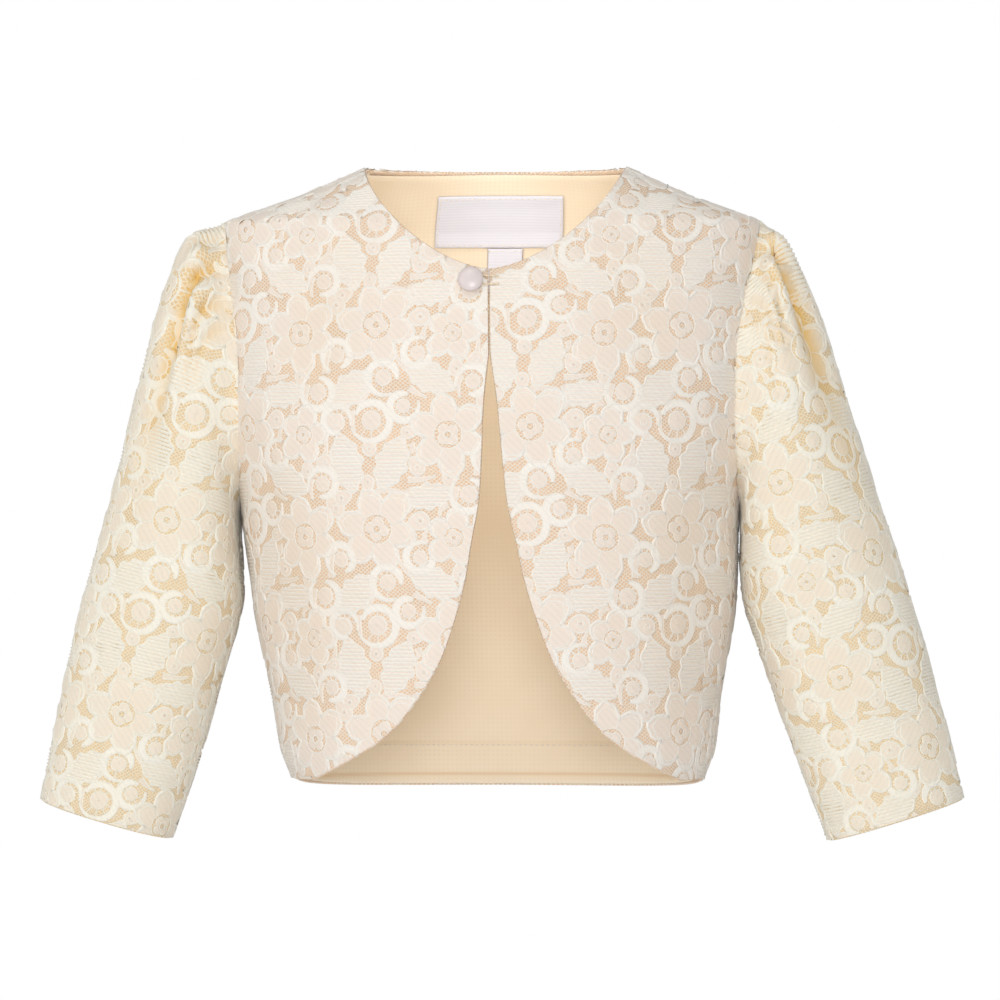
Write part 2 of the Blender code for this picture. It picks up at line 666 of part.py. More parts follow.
def make_sleeves(collection):
    for side in ("left", "right"):
        outer = sleeve_grid(side)
        out = 1 if side == "left" else -1
        inner = outer - ring_normals(outer, out) * LACE_WALL
        name = "sleeve_" + side
        after = np.roll(outer, -1, axis=1)
        first = np.linalg.norm(after[1:] - outer[:-1], axis=2)
        second = np.linalg.norm(after[:-1] - outer[1:], axis=2)
        turned = second < first
        place(name, wall_mesh(name, outer, inner, turned, closed=True), "sleeve_lace", collection)


def tape(name, across, width, top_drop, height, finish, collection):
    """A flat tape sewn on the back lining."""
    u = np.linspace(across - width / 2, across + width / 2, 9)
    v = np.linspace(top_drop + height, top_drop, 4)
    grid = np.stack(np.meshgrid(u, v), axis=-1)
    # The lining's flat facets stand in from its true curve, and the tape lies on them.
    depth = LACE_WALL + LAYER_GAP + LINING_WALL + LAYER_GAP
    turned = flatter_diagonals(BACK, grid)
    return panel_wall(name, BACK, grid, turned, depth, LABEL_WALL, finish, collection)


def make_labels(collection):
    tape("label", 0.0, LABEL_WIDTH, LABEL_TOP_DROP, LABEL_HEIGHT, "label", collection)
    below = LABEL_TOP_DROP + LABEL_HEIGHT + SEAM_GAP
    tape("size_tab", TAB_ACROSS, TAB_WIDTH, below, TAB_HEIGHT, "label", collection)


def button_frame():
    """Where the button's axis meets the cloth, and its three directions: out, across and down."""
    across = FRONT.across_of_x(BUTTON_X, BUTTON_DROP)
    at = np.array([across])
    drop = np.array([BUTTON_DROP])
    foot = Vector(FRONT.at(at, drop)[0])
    out = Vector(FRONT.normal(at, drop)[0])
    sideways = Vector((1, 0, 0))
    sideways = (sideways - out * sideways.dot(out)).normalized()
    down = out.cross(sideways)
    if down.z > 0:
        down = -down
    return foot, out, sideways, down


def make_button(collection):
    """A domed button turned about its axis, with a shank behind it."""
    foot, out, _, _ = button_frame()
    head = SHANK_HEIGHT
    profile = [(0.0, SEAM_GAP), (SHANK_RADIUS, SEAM_GAP), (SHANK_RADIUS, head), (BUTTON_RADIUS * 0.86, head)]
    rim_height = (BUTTON_HEIGHT - head) * 0.30
    profile.append((BUTTON_RADIUS * 0.97, head + rim_height * 0.4))
    for step in range(7):
        angle = step / 6 * math.pi / 2
        radius = BUTTON_RADIUS * math.cos(angle)
        height = head + rim_height + (BUTTON_HEIGHT - head - rim_height) * math.sin(angle)
        profile.append((max(radius, 0.0), height))
    mesh = bpy.data.meshes.new("button_profile")
    # A Screw profile at +X runs down its outer side, so that the shape isn't inside out.
    corners = [(r, 0, h) for r, h in profile[::-1]]
    corners[0] = (0.0, 0.0, corners[0][2])
    mesh.from_pydata(corners, [(i, i + 1) for i in range(len(corners) - 1)], [])
    made = bpy.data.objects.new("button", mesh)
    collection.objects.link(made)
    turn = made.modifiers.new("turned", "SCREW")
    turn.steps = 20
    turn.render_steps = 20
    turn.use_merge_vertices = True
    turn.merge_threshold = 0.00001
    made.rotation_mode = "QUATERNION"
    made.rotation_quaternion = out.to_track_quat("Z", "Y")
    made.location = foot
    mesh.materials.append(material("button"))
    return made


def make_loop(collection):
    """A thread loop from the wearer's left front edge, round the button's shank and back."""
    foot, out, sideways, down = button_frame()
    radius = SHANK_RADIUS + LOOP_THICKNESS / 2 + LOOP_CLEARANCE
    height = SEAM_GAP + LOOP_THICKNESS / 2 + 0.0002
    edge = meeting_x(BUTTON_DROP) - BUTTON_X
    route = [(edge + LOOP_ROOT, radius * 0.8)]
    route += [(edge + LOOP_ROOT * 0.5, radius * 0.85), (edge * 0.5, radius * 0.97)]
    for step in range(9):
        angle = math.pi / 2 + step / 8 * math.pi
        route.append((radius * math.cos(angle), radius * math.sin(angle)))
    route += [(edge * 0.5, -radius * 0.97), (edge + LOOP_ROOT * 0.5, -radius * 0.85)]
    route.append((edge + LOOP_ROOT, -radius * 0.8))
    curve = bpy.data.curves.new("button_loop", "CURVE")
    curve.dimensions = "3D"
    curve.bevel_depth = LOOP_THICKNESS / 2
    curve.bevel_resolution = 1
    curve.use_fill_caps = True
    spline = curve.splines.new("POLY")
    spline.points.add(len(route) - 1)
    for point, (right, up) in zip(spline.points, route):
        flat = foot + sideways * right - down * up
        # Each point is lifted from the cloth below it, which curves away from the button.
        drop = NECK_POINT_Z - flat.z
        across = FRONT.across_of_x(flat.x, drop)
        at = np.array([across])
        below = np.array([drop])
        lifted = Vector(FRONT.at(at, below)[0]) + Vector(FRONT.normal(at, below)[0]) * height
        point.co = (*lifted, 1)
    curve.materials.append(material("loop"))
    made = bpy.data.objects.new("button_loop", curve)
    collection.objects.link(made)
    return made


def main():
    for old in list(bpy.data.objects):
        bpy.data.objects.remove(old, do_unlink=True)
    collection = bpy.data.collections.new("bolero_jacket")
    bpy.context.scene.collection.children.link(collection)
    make_fronts(collection)
    make_back(collection)
    make_sleeves(collection)
    make_labels(collection)
    make_button(collection)
    make_loop(collection)


main()
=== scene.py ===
"""The looks of a small child's lace bolero jacket, laid out as a Blender add-on and run as a script.

Metres, +Z up. The wearer faces -Y, and the wearer's left is +X. "drop" is a distance down from the
neck points. "across" is a distance round the body, measured on the cloth from the centre front or
the centre back, and + towards the wearer's left. "flat" coordinates are distances on the cloth as
it was cut, to the right and up.
"""

import math

import bmesh
import bpy
import numpy as np
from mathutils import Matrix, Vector
from mathutils.bvhtree import BVHTree


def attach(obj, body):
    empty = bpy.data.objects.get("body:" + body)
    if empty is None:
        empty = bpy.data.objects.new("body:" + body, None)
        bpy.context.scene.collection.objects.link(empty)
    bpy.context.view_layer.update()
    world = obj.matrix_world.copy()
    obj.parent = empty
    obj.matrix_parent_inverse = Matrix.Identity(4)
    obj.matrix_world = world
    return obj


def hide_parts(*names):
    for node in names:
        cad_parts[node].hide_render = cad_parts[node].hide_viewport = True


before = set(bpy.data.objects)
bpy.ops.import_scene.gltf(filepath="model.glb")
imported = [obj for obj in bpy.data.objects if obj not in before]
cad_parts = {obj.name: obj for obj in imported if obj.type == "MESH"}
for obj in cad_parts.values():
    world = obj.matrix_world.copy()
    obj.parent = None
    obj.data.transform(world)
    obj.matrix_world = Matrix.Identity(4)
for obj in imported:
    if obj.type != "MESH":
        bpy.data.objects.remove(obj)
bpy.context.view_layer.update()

bl_info = {
    "name": "Lace bolero jacket",
    "version": (1, 0, 0),
    "blender": (4, 5, 0),
    "location": "3D View > Sidebar > Bolero",
    "description": "Dresses the solids of a small child's bolero in lace, lining and trims",
    "category": "Object",
}

# Heights and walls, the same as in the part's source
NECK_POINT_Z = 0.014
SHOULDER_TIP_DROP = 0.0275
FRONT_NECK_DROP = 0.053
BACK_NECK_RISE = 0.0020
UNDERARM_DROP = 0.168
SIDE_HEM_DROP = 0.3055
FRONT_HEM_DROP = 0.3045
BACK_HEM_DROP = 0.3125
LACE_WALL = 0.0012
LINING_WALL = 0.0010
SEAM_GAP = 0.0003
LAYER_GAP = 0.0009
LINING_SETBACK = 0.0007

# Horizontal sections of the body, the same as in the part's source
SIDE_SEAM_Y = 0.004
TORSO_COLUMNS = ("drop", "half_width", "front_depth", "back_depth", "squareness", "sway")
TORSO_SECTIONS = (
    (-0.0040, 0.0555, 0.0440, 0.0545, 2.00, 0.0000),
    (0.0000, 0.0645, 0.0460, 0.0560, 2.00, 0.0000),
    (0.0055, 0.0780, 0.0485, 0.0590, 2.00, -0.0003),
    (0.0100, 0.0880, 0.0505, 0.0610, 2.00, -0.0006),
    (0.0145, 0.0980, 0.0530, 0.0635, 2.00, -0.0009),
    (0.0180, 0.1080, 0.0545, 0.0650, 2.00, -0.0012),
    (0.0215, 0.1180, 0.0560, 0.0665, 2.02, -0.0015),
    (0.0250, 0.1280, 0.0575, 0.0680, 2.05, -0.0018),
    (0.0275, 0.1330, 0.0585, 0.0690, 2.08, -0.0020),
    (0.0530, 0.1345, 0.0675, 0.0740, 2.15, -0.0028),
    (0.0950, 0.1340, 0.0755, 0.0780, 2.25, -0.0034),
    (0.1300, 0.1310, 0.0790, 0.0780, 2.30, -0.0034),
    (0.1680, 0.1245, 0.0790, 0.0760, 2.30, -0.0030),
    (0.2150, 0.1205, 0.0770, 0.0730, 2.30, -0.0010),
    (0.2660, 0.1115, 0.0750, 0.0710, 2.30, 0.0000),
    (0.2900, 0.1080, 0.0740, 0.0700, 2.30, 0.0006),
    (0.3040, 0.1030, 0.0720, 0.0690, 2.30, 0.0008),
    (0.3200, 0.0980, 0.0700, 0.0680, 2.30, 0.0008),
)
FRONT_EDGE_COLUMNS = ("drop", "half_gap")
FRONT_EDGE = (
    (0.0950, 0.0000),
    (0.1180, 0.0029),
    (0.1470, 0.0048),
    (0.1665, 0.0065),
    (0.1860, 0.0104),
    (0.2050, 0.0140),
    (0.2245, 0.0196),
    (0.2440, 0.0268),
    (0.2630, 0.0380),
    (0.2820, 0.0540),
    (0.2950, 0.0735),
    (0.3045, 0.0905),
)
MEETING_COLUMNS = ("drop", "x")
MEETING_LINE = ((0.050, -0.0002), (0.095, 0.0006), (0.166, 0.0024), (0.260, 0.0040), (0.320, 0.0015))
NECK_HALF_WIDTH = 0.0645
NECK_CURVE_POWERS = (1.6, 1.4)
FRONT_HEM_POWER = 1.5
BACK_HEM_POWER = 4
ARMHOLE_FRONT = {"reach": 0.035, "lowness": 1.3, "roundness": 0.52}
ARMHOLE_BACK = {"reach": 0.034, "lowness": 1.0, "roundness": 0.52}
DRAPE_FADE = 0.7
FRONT_DRAPES = (  # top across, top drop, low across, low drop, width, depth
    (0.118, 0.120, 0.098, 0.292, 0.020, 0.0016),
    (0.088, 0.150, 0.072, 0.270, 0.022, 0.0008),
    (0.070, 0.030, 0.092, 0.130, 0.020, 0.0010),
)
BACK_DRAPES = (  # the same
    (0.118, 0.130, 0.100, 0.300, 0.020, 0.0018),
    (0.062, 0.170, 0.048, 0.312, 0.020, 0.0014),
    (0.018, 0.060, 0.012, 0.230, 0.022, 0.0009),
    (0.080, 0.030, 0.098, 0.130, 0.018, 0.0012),
)

# Sections of the sleeves, the same as in the part's source, and their gathers. The gathers are
# sharper here and lie a little elsewhere: their surface is up to about 3 mm under the source's, and
# up to about 4 mm over it.
SLEEVE_SECTIONS = {  # outer x, outer drop, inner x, inner drop, half depth, middle y
    "right": (
        (0.1490, 0.0310, 0.1290, 0.1740, 0.0390, 0.003),
        (0.1635, 0.0560, 0.1290, 0.1840, 0.0410, 0.002),
        (0.1765, 0.1010, 0.1282, 0.1960, 0.0405, 0.001),
        (0.1900, 0.1550, 0.1270, 0.2130, 0.0390, -0.001),
        (0.2080, 0.2220, 0.1380, 0.2570, 0.0340, -0.004),
        (0.2195, 0.2750, 0.1510, 0.3030, 0.0290, -0.007),
        (0.2270, 0.3160, 0.1620, 0.3350, 0.0265, -0.009),
    ),
    "left": (
        (0.1390, 0.0320, 0.1225, 0.1740, 0.0390, 0.003),
        (0.1535, 0.0560, 0.1225, 0.1840, 0.0405, 0.002),
        (0.1695, 0.1010, 0.1220, 0.1960, 0.0400, 0.001),
        (0.1870, 0.1550, 0.1232, 0.2120, 0.0390, -0.001),
        (0.2085, 0.2220, 0.1370, 0.2560, 0.0345, -0.004),
        (0.2230, 0.2750, 0.1530, 0.3010, 0.0295, -0.007),
        (0.2325, 0.3140, 0.1660, 0.3350, 0.0270, -0.009),
    ),
}
SLEEVE_SQUARENESS = 2.15
GATHERS = {  # place as a share of the way round, drift, depth, length
    "right": (
        (-0.340, -0.10, 0.0026, 0.050),
        (-0.250, -0.08, 0.0040, 0.085),
        (-0.155, -0.04, 0.0048, 0.115),
        (-0.065, 0.00, 0.0036, 0.060),
        (0.010, 0.01, 0.0030, 0.026),
        (0.080, 0.05, 0.0056, 0.022),
        (0.182, 0.11, 0.0084, 0.094),
        (0.285, 0.15, 0.0064, 0.044),
        (0.360, 0.15, 0.0036, 0.040),
    ),
    "left": (
        (-0.340, -0.10, 0.0026, 0.050),
        (-0.250, -0.08, 0.0040, 0.085),
        (-0.155, -0.04, 0.0048, 0.115),
        (-0.065, 0.00, 0.0036, 0.060),
        (0.010, 0.00, 0.0034, 0.030),
        (0.118, 0.06, 0.0086, 0.094),
        (0.205, 0.18, 0.0064, 0.040),
        (0.285, 0.18, 0.0048, 0.030),
        (0.360, 0.15, 0.0030, 0.040),
    ),
}
GATHER_WIDTH_AT_SEAM = 0.0046
GATHER_WIDENING = 0.026
GATHER_ONSET = 0.008
GATHER_ONSET_POWER = 1.5
GATHER_PUFF = 0.0014
GATHER_PUFF_LENGTH = 0.09
GATHER_ENDS = 0.03
FOLD_SHARPNESS = 1.2
DRIFT_LENGTH = 0.045
DRIFT_START = -0.75
DRIFT_ENDS = (0.85, 1.25)

# Meshes: steps across a half panel, down to the underarm and below it, and round a sleeve
PANEL_STEPS = {"neckline": 27, "shoulder": 15, "upper": 44, "lower": 22}
TOP_CROWDING = 0.85
ARMHOLE_ACROSS_WEIGHT = 0.55
NECKLINE_CROWDING = 1.6
SLEEVE_STEPS_ROUND = 200
SLEEVE_STEPS_DOWN = 96
SLEEVE_CROWDING = 1.6
YOKE_DROP = 0.03
FINE_LEVELS = 150
FINE_ANGLES = 241
FLAT_COLUMNS = 181
FLAT_ROWS = 320
RING_POINTS = 161
SLOPE_STEP = 0.0004

# How many points each line is drawn with before its steps are laid along it
DRAWN = {
    "side seam": 30,
    "shoulder": 40,
    "armhole": 90,
    "front edge": 160,
    "front neckline": 90,
    "back neckline": 60,
    "back centre": 20,
    "armhole ring": 200,
    "half sleeve ring": 181,
    "loop": 90,
}

# Label and size tab, sewn to the lining below the back of the neck
LABEL_WIDTH = 0.067
LABEL_HEIGHT = 0.027
LABEL_TOP_DROP = 0.0085
LABEL_WALL = 0.0010
TAPE_SEAM_INSET = 0.0014
TAPE_SEAM_STEPS = 200
TAPE_COLUMNS = 49
TAPE_ROWS = 25
TAB_WIDTH = 0.0185
TAB_HEIGHT = 0.023
TAB_ACROSS = 0.0035

# Button and its loop
BUTTON_RADIUS = 0.0061
BUTTON_HEIGHT = 0.0048
BUTTON_X = -0.0088
BUTTON_DROP = 0.0590
SHANK_RADIUS = 0.0013
SHANK_HEIGHT = 0.0022
BUTTON_RIM_SHARE = 0.30
BUTTON_RIM_STEPS = 8
BUTTON_DOME_STEPS = 24
BUTTON_SIDES = 64
LOOP_THICKNESS = 0.0010
LOOP_CLEARANCE = 0.0006
LOOP_ROOT = 0.0050
LOOP_TURN_STEPS = 8
LOOP_SIDES = 10
LOOP_END = 0.35

MM = 0.001

# Where the lace's repeat starts on the flat cloth, and how far it stands off the net
BODY_SHIFT = (0.004, 0.012)
BACK_SHIFT = (0.0, 0.020)
SLEEVE_SHIFT = {"right": (0.030, 0.030), "left": (0.004, 0.006)}
LACE_LIFT = 0.00006
EDGE_KEEP = 0.995
CURL_WIDTH = 0.0030
CURL_EYE = 0.47
STEM_WIDTH = 0.0028

# The lining's turned-up hem at the back, and the ridge of the seam round each armhole
HEM_BAND_LOW = 0.3064
HEM_STEP = 0.0003
HEM_FOOT = 0.55
HEM_ROWS = 6
HEM_FINE_ROWS = 40
HEM_SEAM_POINTS = 240
PUCKER_SPACING = 0.0065
PUCKER_HEIGHT = 0.25
PUCKER_LENGTH = 0.010
PUCKER_UNEVENNESS = 0.8
PUCKER_DRIFT = 0.031
HEM_SEAM_DROP = 0.2921
HEM_SEAM_INSET = 0.006
STITCH_LIFT = 0.00005
RIDGE_HEIGHT = 0.0008
RIDGE_WIDTH = 0.0013
RIDGE_PLACE = 0.0016
SEAM_ROLL = (0.0007, 0.0011)
SEAM_ROLL_WIDTH = 0.0012

# How a wall's rim is rounded, as shares of its thickness: back from the edge, and to its middle
RIM_BACK = 0.42
RIM_CLOSE = 0.18

# Fold depths at which the painted shade on the cloth is deepest, and how much painted shade lies along the
# body's own seams
DEEP_DRAPE = 0.0060
DEEP_GATHER = 0.0052
SIDE_SHADE = 0.25
SIDE_SHADE_WIDTH = 0.004
SEWN_SHADE = 0.9
SEWN_SHADE_DROP = 0.3068
SEWN_SHADE_WIDTH = 0.0009

# The photograph's view and its lights. The last is a small soft light inside the body, as when the
# hollow of a garment is lit on its own.
VIEW_CENTRE = (0.0, 0.0, -0.152)
VIEW_RIGHT = 0.002
FLOOR_Z = -0.75
FLOOR_RADIUS = 3
LIGHTS = (  # name, setting for its power, share of that power, place, aim, size, colour
    ("front", "front_power", 1.0, (0.12, -2.75, 0.12), VIEW_CENTRE, 0.9, "#fdfcff"),
    ("key", "key_power", 1.0, (-1.5, -2.0, 0.7), VIEW_CENTRE, 1.0, "#fdfaf6"),
    ("top", "top_power", 1.0, (-0.2, -1.2, 1.5), VIEW_CENTRE, 0.8, "#fffcf6"),
    ("rim right", "rim_power", 1.0, (-1.8, 0.6, 0.4), VIEW_CENTRE, 1.0, "#fffefb"),
    ("rim left", "rim_power", 0.8, (1.8, 0.6, 0.4), VIEW_CENTRE, 1.0, "#fffefb"),
    ("behind", "front_power", 0.6, (0.5, 2.6, 0.5), VIEW_CENTRE, 1.0, "#fdfcff"),
    ("inside", "inside_power", 1.0, (0.0, -0.035, -0.045), (0.0, 0.07, -0.045), 0.13, "#fffdf8"),
)


def linear(code):
    """A colour that is written as #rrggbb, as the linear values that shaders take."""
    parts = [int(code[k : k + 2], 16) / 255 for k in (1, 3, 5)]
    return tuple(v / 12.92 if v <= 0.04045 else ((v + 0.055) / 1.055) ** 2.4 for v in parts)


def smooth(table, columns, wanted, at):
    """A column of a table at some values of its first column, by a cubic that never overshoots."""
    rows = np.array(table, float)
    x = rows[:, 0]
    y = rows[:, columns.index(wanted)]
    at = np.clip(np.asarray(at, float), x[0], x[-1])
    step = np.diff(x)
    rise = np.diff(y) / step
    slope = np.zeros(len(x))
    slope[0] = rise[0]
    slope[-1] = rise[-1]
    same_way = rise[:-1] * rise[1:] > 0
    weight_a = 2 * step[1:] + step[:-1]
    weight_b = step[1:] + 2 * step[:-1]
    mean = (weight_a + weight_b) / (
        weight_a / np.where(same_way, rise[:-1], 1) + weight_b / np.where(same_way, rise[1:], 1)
    )
    slope[1:-1] = np.where(same_way, mean, 0)
    i = np.clip(np.searchsorted(x, at, side="right") - 1, 0, len(x) - 2)
    h = step[i]
    t = (at - x[i]) / h
    return (
        y[i] * (1 + 2 * t) * (1 - t) ** 2
        + slope[i] * h * t * (1 - t) ** 2
        + y[i + 1] * t * t * (3 - 2 * t)
        + slope[i + 1] * h * t * t * (t - 1)
    )


def units(ways):
    """The same directions with a length of one."""
    return ways / np.maximum(np.linalg.norm(ways, axis=-1, keepdims=True), 1e-9)


def lengths(line):
    """How far along a line each of its points lies."""
    return np.concatenate([[0], np.cumsum(np.linalg.norm(np.diff(line, axis=0), axis=1))])


def points_at(at, along, line):
    """Points of a line at some distances, where "along" is the distance of each of its own."""
    return np.stack([np.interp(at, along, column) for column in line.T], axis=1)


def grid_quads(numbers):
    """The quads between the neighbours of a grid of point numbers."""
    corners = (numbers[:-1, :-1], numbers[1:, :-1], numbers[1:, 1:], numbers[:-1, 1:])
    return np.stack([c.ravel() for c in corners], axis=1)


def between(table, row, column):
    """Values of a table at places between its rows and columns."""
    i = np.clip(row.astype(int), 0, table.shape[0] - 2)
    j = np.clip(column.astype(int), 0, table.shape[1] - 2)
    s = row - i
    t = column - j
    if table.ndim == 3:
        s = s[..., None]
        t = t[..., None]
    near = table[i, j] * (1 - t) + table[i, j + 1] * t
    far = table[i + 1, j] * (1 - t) + table[i + 1, j + 1] * t
    return near * (1 - s) + far * s


def torso(wanted, drop):
    return smooth(TORSO_SECTIONS, TORSO_COLUMNS, wanted, drop)


def section(drop, angle, depth):
    """Points of the body's horizontal section, angle 0 at the centre and a right angle at the side."""
    power = 2 / torso("squareness", drop)
    x = torso("half_width", drop) * np.abs(np.sin(angle)) ** power
    y = depth * np.abs(np.cos(angle)) ** power
    return x, y


class Panel:
    """Half of the body's front or back as a table of points: by drop, and by share of the way round."""

    def __init__(self, side):
        self.toward = -1 if side == "front" else 1
        top, low = TORSO_SECTIONS[0][0], TORSO_SECTIONS[-1][0]
        yoke = np.linspace(top, YOKE_DROP, FINE_LEVELS // 3, endpoint=False)
        self.drops = np.concatenate([yoke, np.linspace(YOKE_DROP, low, FINE_LEVELS)])
        angle = np.linspace(0, math.pi / 2, FINE_ANGLES)
        shares = np.linspace(0, 1, FINE_ANGLES)
        self.x = np.zeros((len(self.drops), FINE_ANGLES))
        self.y = np.zeros_like(self.x)
        self.quarter = np.zeros(len(self.drops))
        for i, drop in enumerate(self.drops):
            x, y = section(drop, angle, torso(side + "_depth", drop))
            line = np.stack([x, y], axis=1)
            arc = lengths(line)
            self.quarter[i] = arc[-1]
            self.x[i], self.y[i] = points_at(shares, arc / arc[-1], line).T
        self.sway = torso("sway", self.drops)
        self.drapes = FRONT_DRAPES if side == "front" else BACK_DRAPES
        self.unroll()

    def side_across(self, drop):
        """How far round the side seam lies from the centre."""
        return np.interp(drop, self.drops, self.quarter)

    def level(self, drop):
        """The place of a drop among the tables' rows."""
        return np.interp(drop, self.drops, np.arange(len(self.drops)))

    def row_at(self, table, drop):
        """The row of a table at a drop, between two of its own."""
        level = self.level(drop)
        i = min(int(level), len(self.drops) - 2)
        return table[i] * (1 - (level - i)) + table[i + 1] * (level - i)

    def plain(self, across, drop):
        """Points of the cloth without its folds."""
        share = np.clip(np.abs(across) / self.side_across(drop), 0, 1) * (FINE_ANGLES - 1)
        level = self.level(drop)
        x = between(self.x, level, share)
        y = between(self.y, level, share)
        x = x * np.sign(across) + np.interp(drop, self.drops, self.sway)
        return np.stack([x, SIDE_SEAM_Y + self.toward * y, NECK_POINT_Z - drop], axis=-1)

    def normal(self, across, drop):
        """Outward directions of the cloth."""
        # Both steps turn inwards at the edges, so that none leaves the table.
        edge = self.side_across(drop) - SLOPE_STEP
        mid = np.clip(across, -edge, edge)
        low = np.clip(drop, self.drops[0] + SLOPE_STEP, self.drops[-1] - SLOPE_STEP)
        round_it = self.plain(mid + SLOPE_STEP, low) - self.plain(mid - SLOPE_STEP, low)
        down = self.plain(mid, low + SLOPE_STEP) - self.plain(mid, low - SLOPE_STEP)
        return units(np.cross(round_it, down) * self.toward)

    def fold_depth(self, across, drop):
        """How far the soft drapes lie inside the plain surface."""
        total = np.zeros_like(across)
        for top_across, top_drop, low_across, low_drop, width, depth in self.drapes:
            t = (drop - top_drop) / (low_drop - top_drop)
            line = top_across + (low_across - top_across) * t
            fade = np.clip(np.sin(np.clip(t, 0, 1) * math.pi), 0, 1) ** DRAPE_FADE
            total += depth * fade * np.exp(-(((np.abs(across) - line) / width) ** 2))
        return total

    def at(self, across, drop, depth=0.0):
        """Points of the cloth, moved in by a depth."""
        across = np.asarray(across, float)
        drop = np.asarray(drop, float)
        inward = self.fold_depth(across, drop) + depth
        return self.plain(across, drop) - self.normal(across, drop) * inward[..., None]

    def across_of_x(self, x, drop):
        """How far round from the centre a point lies that is x from the middle plane."""
        x -= float(np.interp(drop, self.drops, self.sway))
        share = np.interp(abs(x), self.row_at(self.x, drop), np.linspace(0, 1, FINE_ANGLES))
        return math.copysign(share * float(self.side_across(drop)), x)

    def across_of_reach(self, reach, drop):
        """How far round from the centre a point lies whose depth is this near the side seam."""
        row = self.row_at(self.y, drop)
        share = np.interp(reach, row[::-1], np.linspace(1, 0, FINE_ANGLES))
        return share * float(self.side_across(drop))

    def unroll(self):
        """Tables between a point's drop and its height on the flat cloth, by its across."""
        self.acrosses = np.linspace(-self.quarter.max(), self.quarter.max(), FLAT_COLUMNS)
        across, drop = np.meshgrid(self.acrosses, self.drops, indexing="ij")
        step = np.linalg.norm(np.diff(self.plain(across, drop), axis=1), axis=2)
        down = np.concatenate([np.zeros((len(across), 1)), np.cumsum(step, axis=1)], axis=1)
        middle = np.searchsorted(self.drops, UNDERARM_DROP)
        self.heights = down[:, middle : middle + 1] - down
        self.height_steps = np.linspace(self.heights.min(), self.heights.max(), FLAT_ROWS)
        self.drop_table = np.array(
            [np.interp(self.height_steps, row[::-1], self.drops[::-1]) for row in self.heights]
        )

    def flat(self, across, drop):
        """Flat coordinates of a point of the panel."""
        row = np.interp(across, self.acrosses, np.arange(len(self.acrosses)))
        return np.stack([across, between(self.heights, row, self.level(drop))], axis=-1)

    def lay(self, flat):
        """Points, outward directions and painted shade of the cloth at some flat coordinates."""
        row = np.interp(flat[:, 0], self.acrosses, np.arange(len(self.acrosses)))
        column = np.interp(flat[:, 1], self.height_steps, np.arange(len(self.height_steps)))
        drop = between(self.drop_table, row, column)
        return self.at(flat[:, 0], drop), self.normal(flat[:, 0], drop), self.painted_shade(flat[:, 0], drop)

    def painted_shade(self, across, drop):
        """Painted shade from 0 to 1: deeper where the cloth lies in a fold, and along the side seams."""
        from_seam = self.side_across(drop) - np.abs(across)
        seam = SIDE_SHADE * np.exp(-((from_seam / SIDE_SHADE_WIDTH) ** 2))
        return np.clip(self.fold_depth(across, drop) / DEEP_DRAPE + seam, 0, 1)


FRONT = Panel("front")
BACK = Panel("back")


def armhole_across(panel, shape, t):
    """The armhole's place on a panel, t from 0 at the shoulder tip to 1 at the underarm."""
    drop = SHOULDER_TIP_DROP + (UNDERARM_DROP - SHOULDER_TIP_DROP) * t
    reach = shape["reach"] * max(0.0, math.sin(math.pi * t ** shape["lowness"])) ** shape["roundness"]
    return panel.across_of_reach(reach, drop), drop


def spaced(line, count, squeeze=1.0, across_weight=1.0):
    """count + 1 points along a line of (across, drop), a squeeze under 1 crowding them to its end.

    An across_weight under 1 spaces them more by their drop than by their distance.
    """
    line = np.array(line, float)
    along = lengths(line * (across_weight, 1.0))
    return points_at(along[-1] * np.linspace(0, 1, count + 1) ** squeeze, along, line)


def side_line(panel, shape, hem_drop, inset):
    """The side of a half panel from the hem up: side seam, then armhole."""
    drops = np.linspace(hem_drop, UNDERARM_DROP, DRAWN["side seam"])
    seam = [(panel.side_across(d) - inset, d) for d in drops]
    # The points crowd towards both ends of the armhole, where it turns fastest.
    turns = (1 - np.cos(np.linspace(0, math.pi, DRAWN["armhole"]))) / 2
    hole = [armhole_across(panel, shape, t) for t in turns[::-1]]
    hole = [(min(a, panel.side_across(d) - inset) - inset, d) for a, d in hole]
    upper = spaced(hole, PANEL_STEPS["upper"], TOP_CROWDING, ARMHOLE_ACROSS_WEIGHT)
    return np.concatenate([spaced(seam, PANEL_STEPS["lower"]), upper[1:]])


def top_line(panel, neckline, inset):
    """The top of a half panel from the centre out: neckline, then shoulder seam."""
    drops = np.linspace(0, SHOULDER_TIP_DROP, DRAWN["shoulder"])
    shoulder = [(panel.side_across(d) - inset, d) for d in drops]
    neckline = [*neckline, shoulder[0]]
    return np.concatenate(
        [spaced(neckline, PANEL_STEPS["neckline"]), spaced(shoulder, PANEL_STEPS["shoulder"])[1:]]
    )


def patch(bottom, top, left, right):
    """A grid of (across, drop) filling the outline of four lines that share their corners."""
    u = np.linspace(0, 1, len(bottom))[None, :, None]
    v = np.linspace(0, 1, len(left))[:, None, None]
    corners = (
        (1 - u) * (1 - v) * bottom[0]
        + u * (1 - v) * bottom[-1]
        + (1 - u) * v * top[0]
        + u * v * top[-1]
    )
    return (
        (1 - v) * bottom[None]
        + v * top[None]
        + (1 - u) * left[:, None]
        + u * right[:, None]
        - corners
    )


def meeting_x(drop):
    return float(smooth(MEETING_LINE, MEETING_COLUMNS, "x", drop))


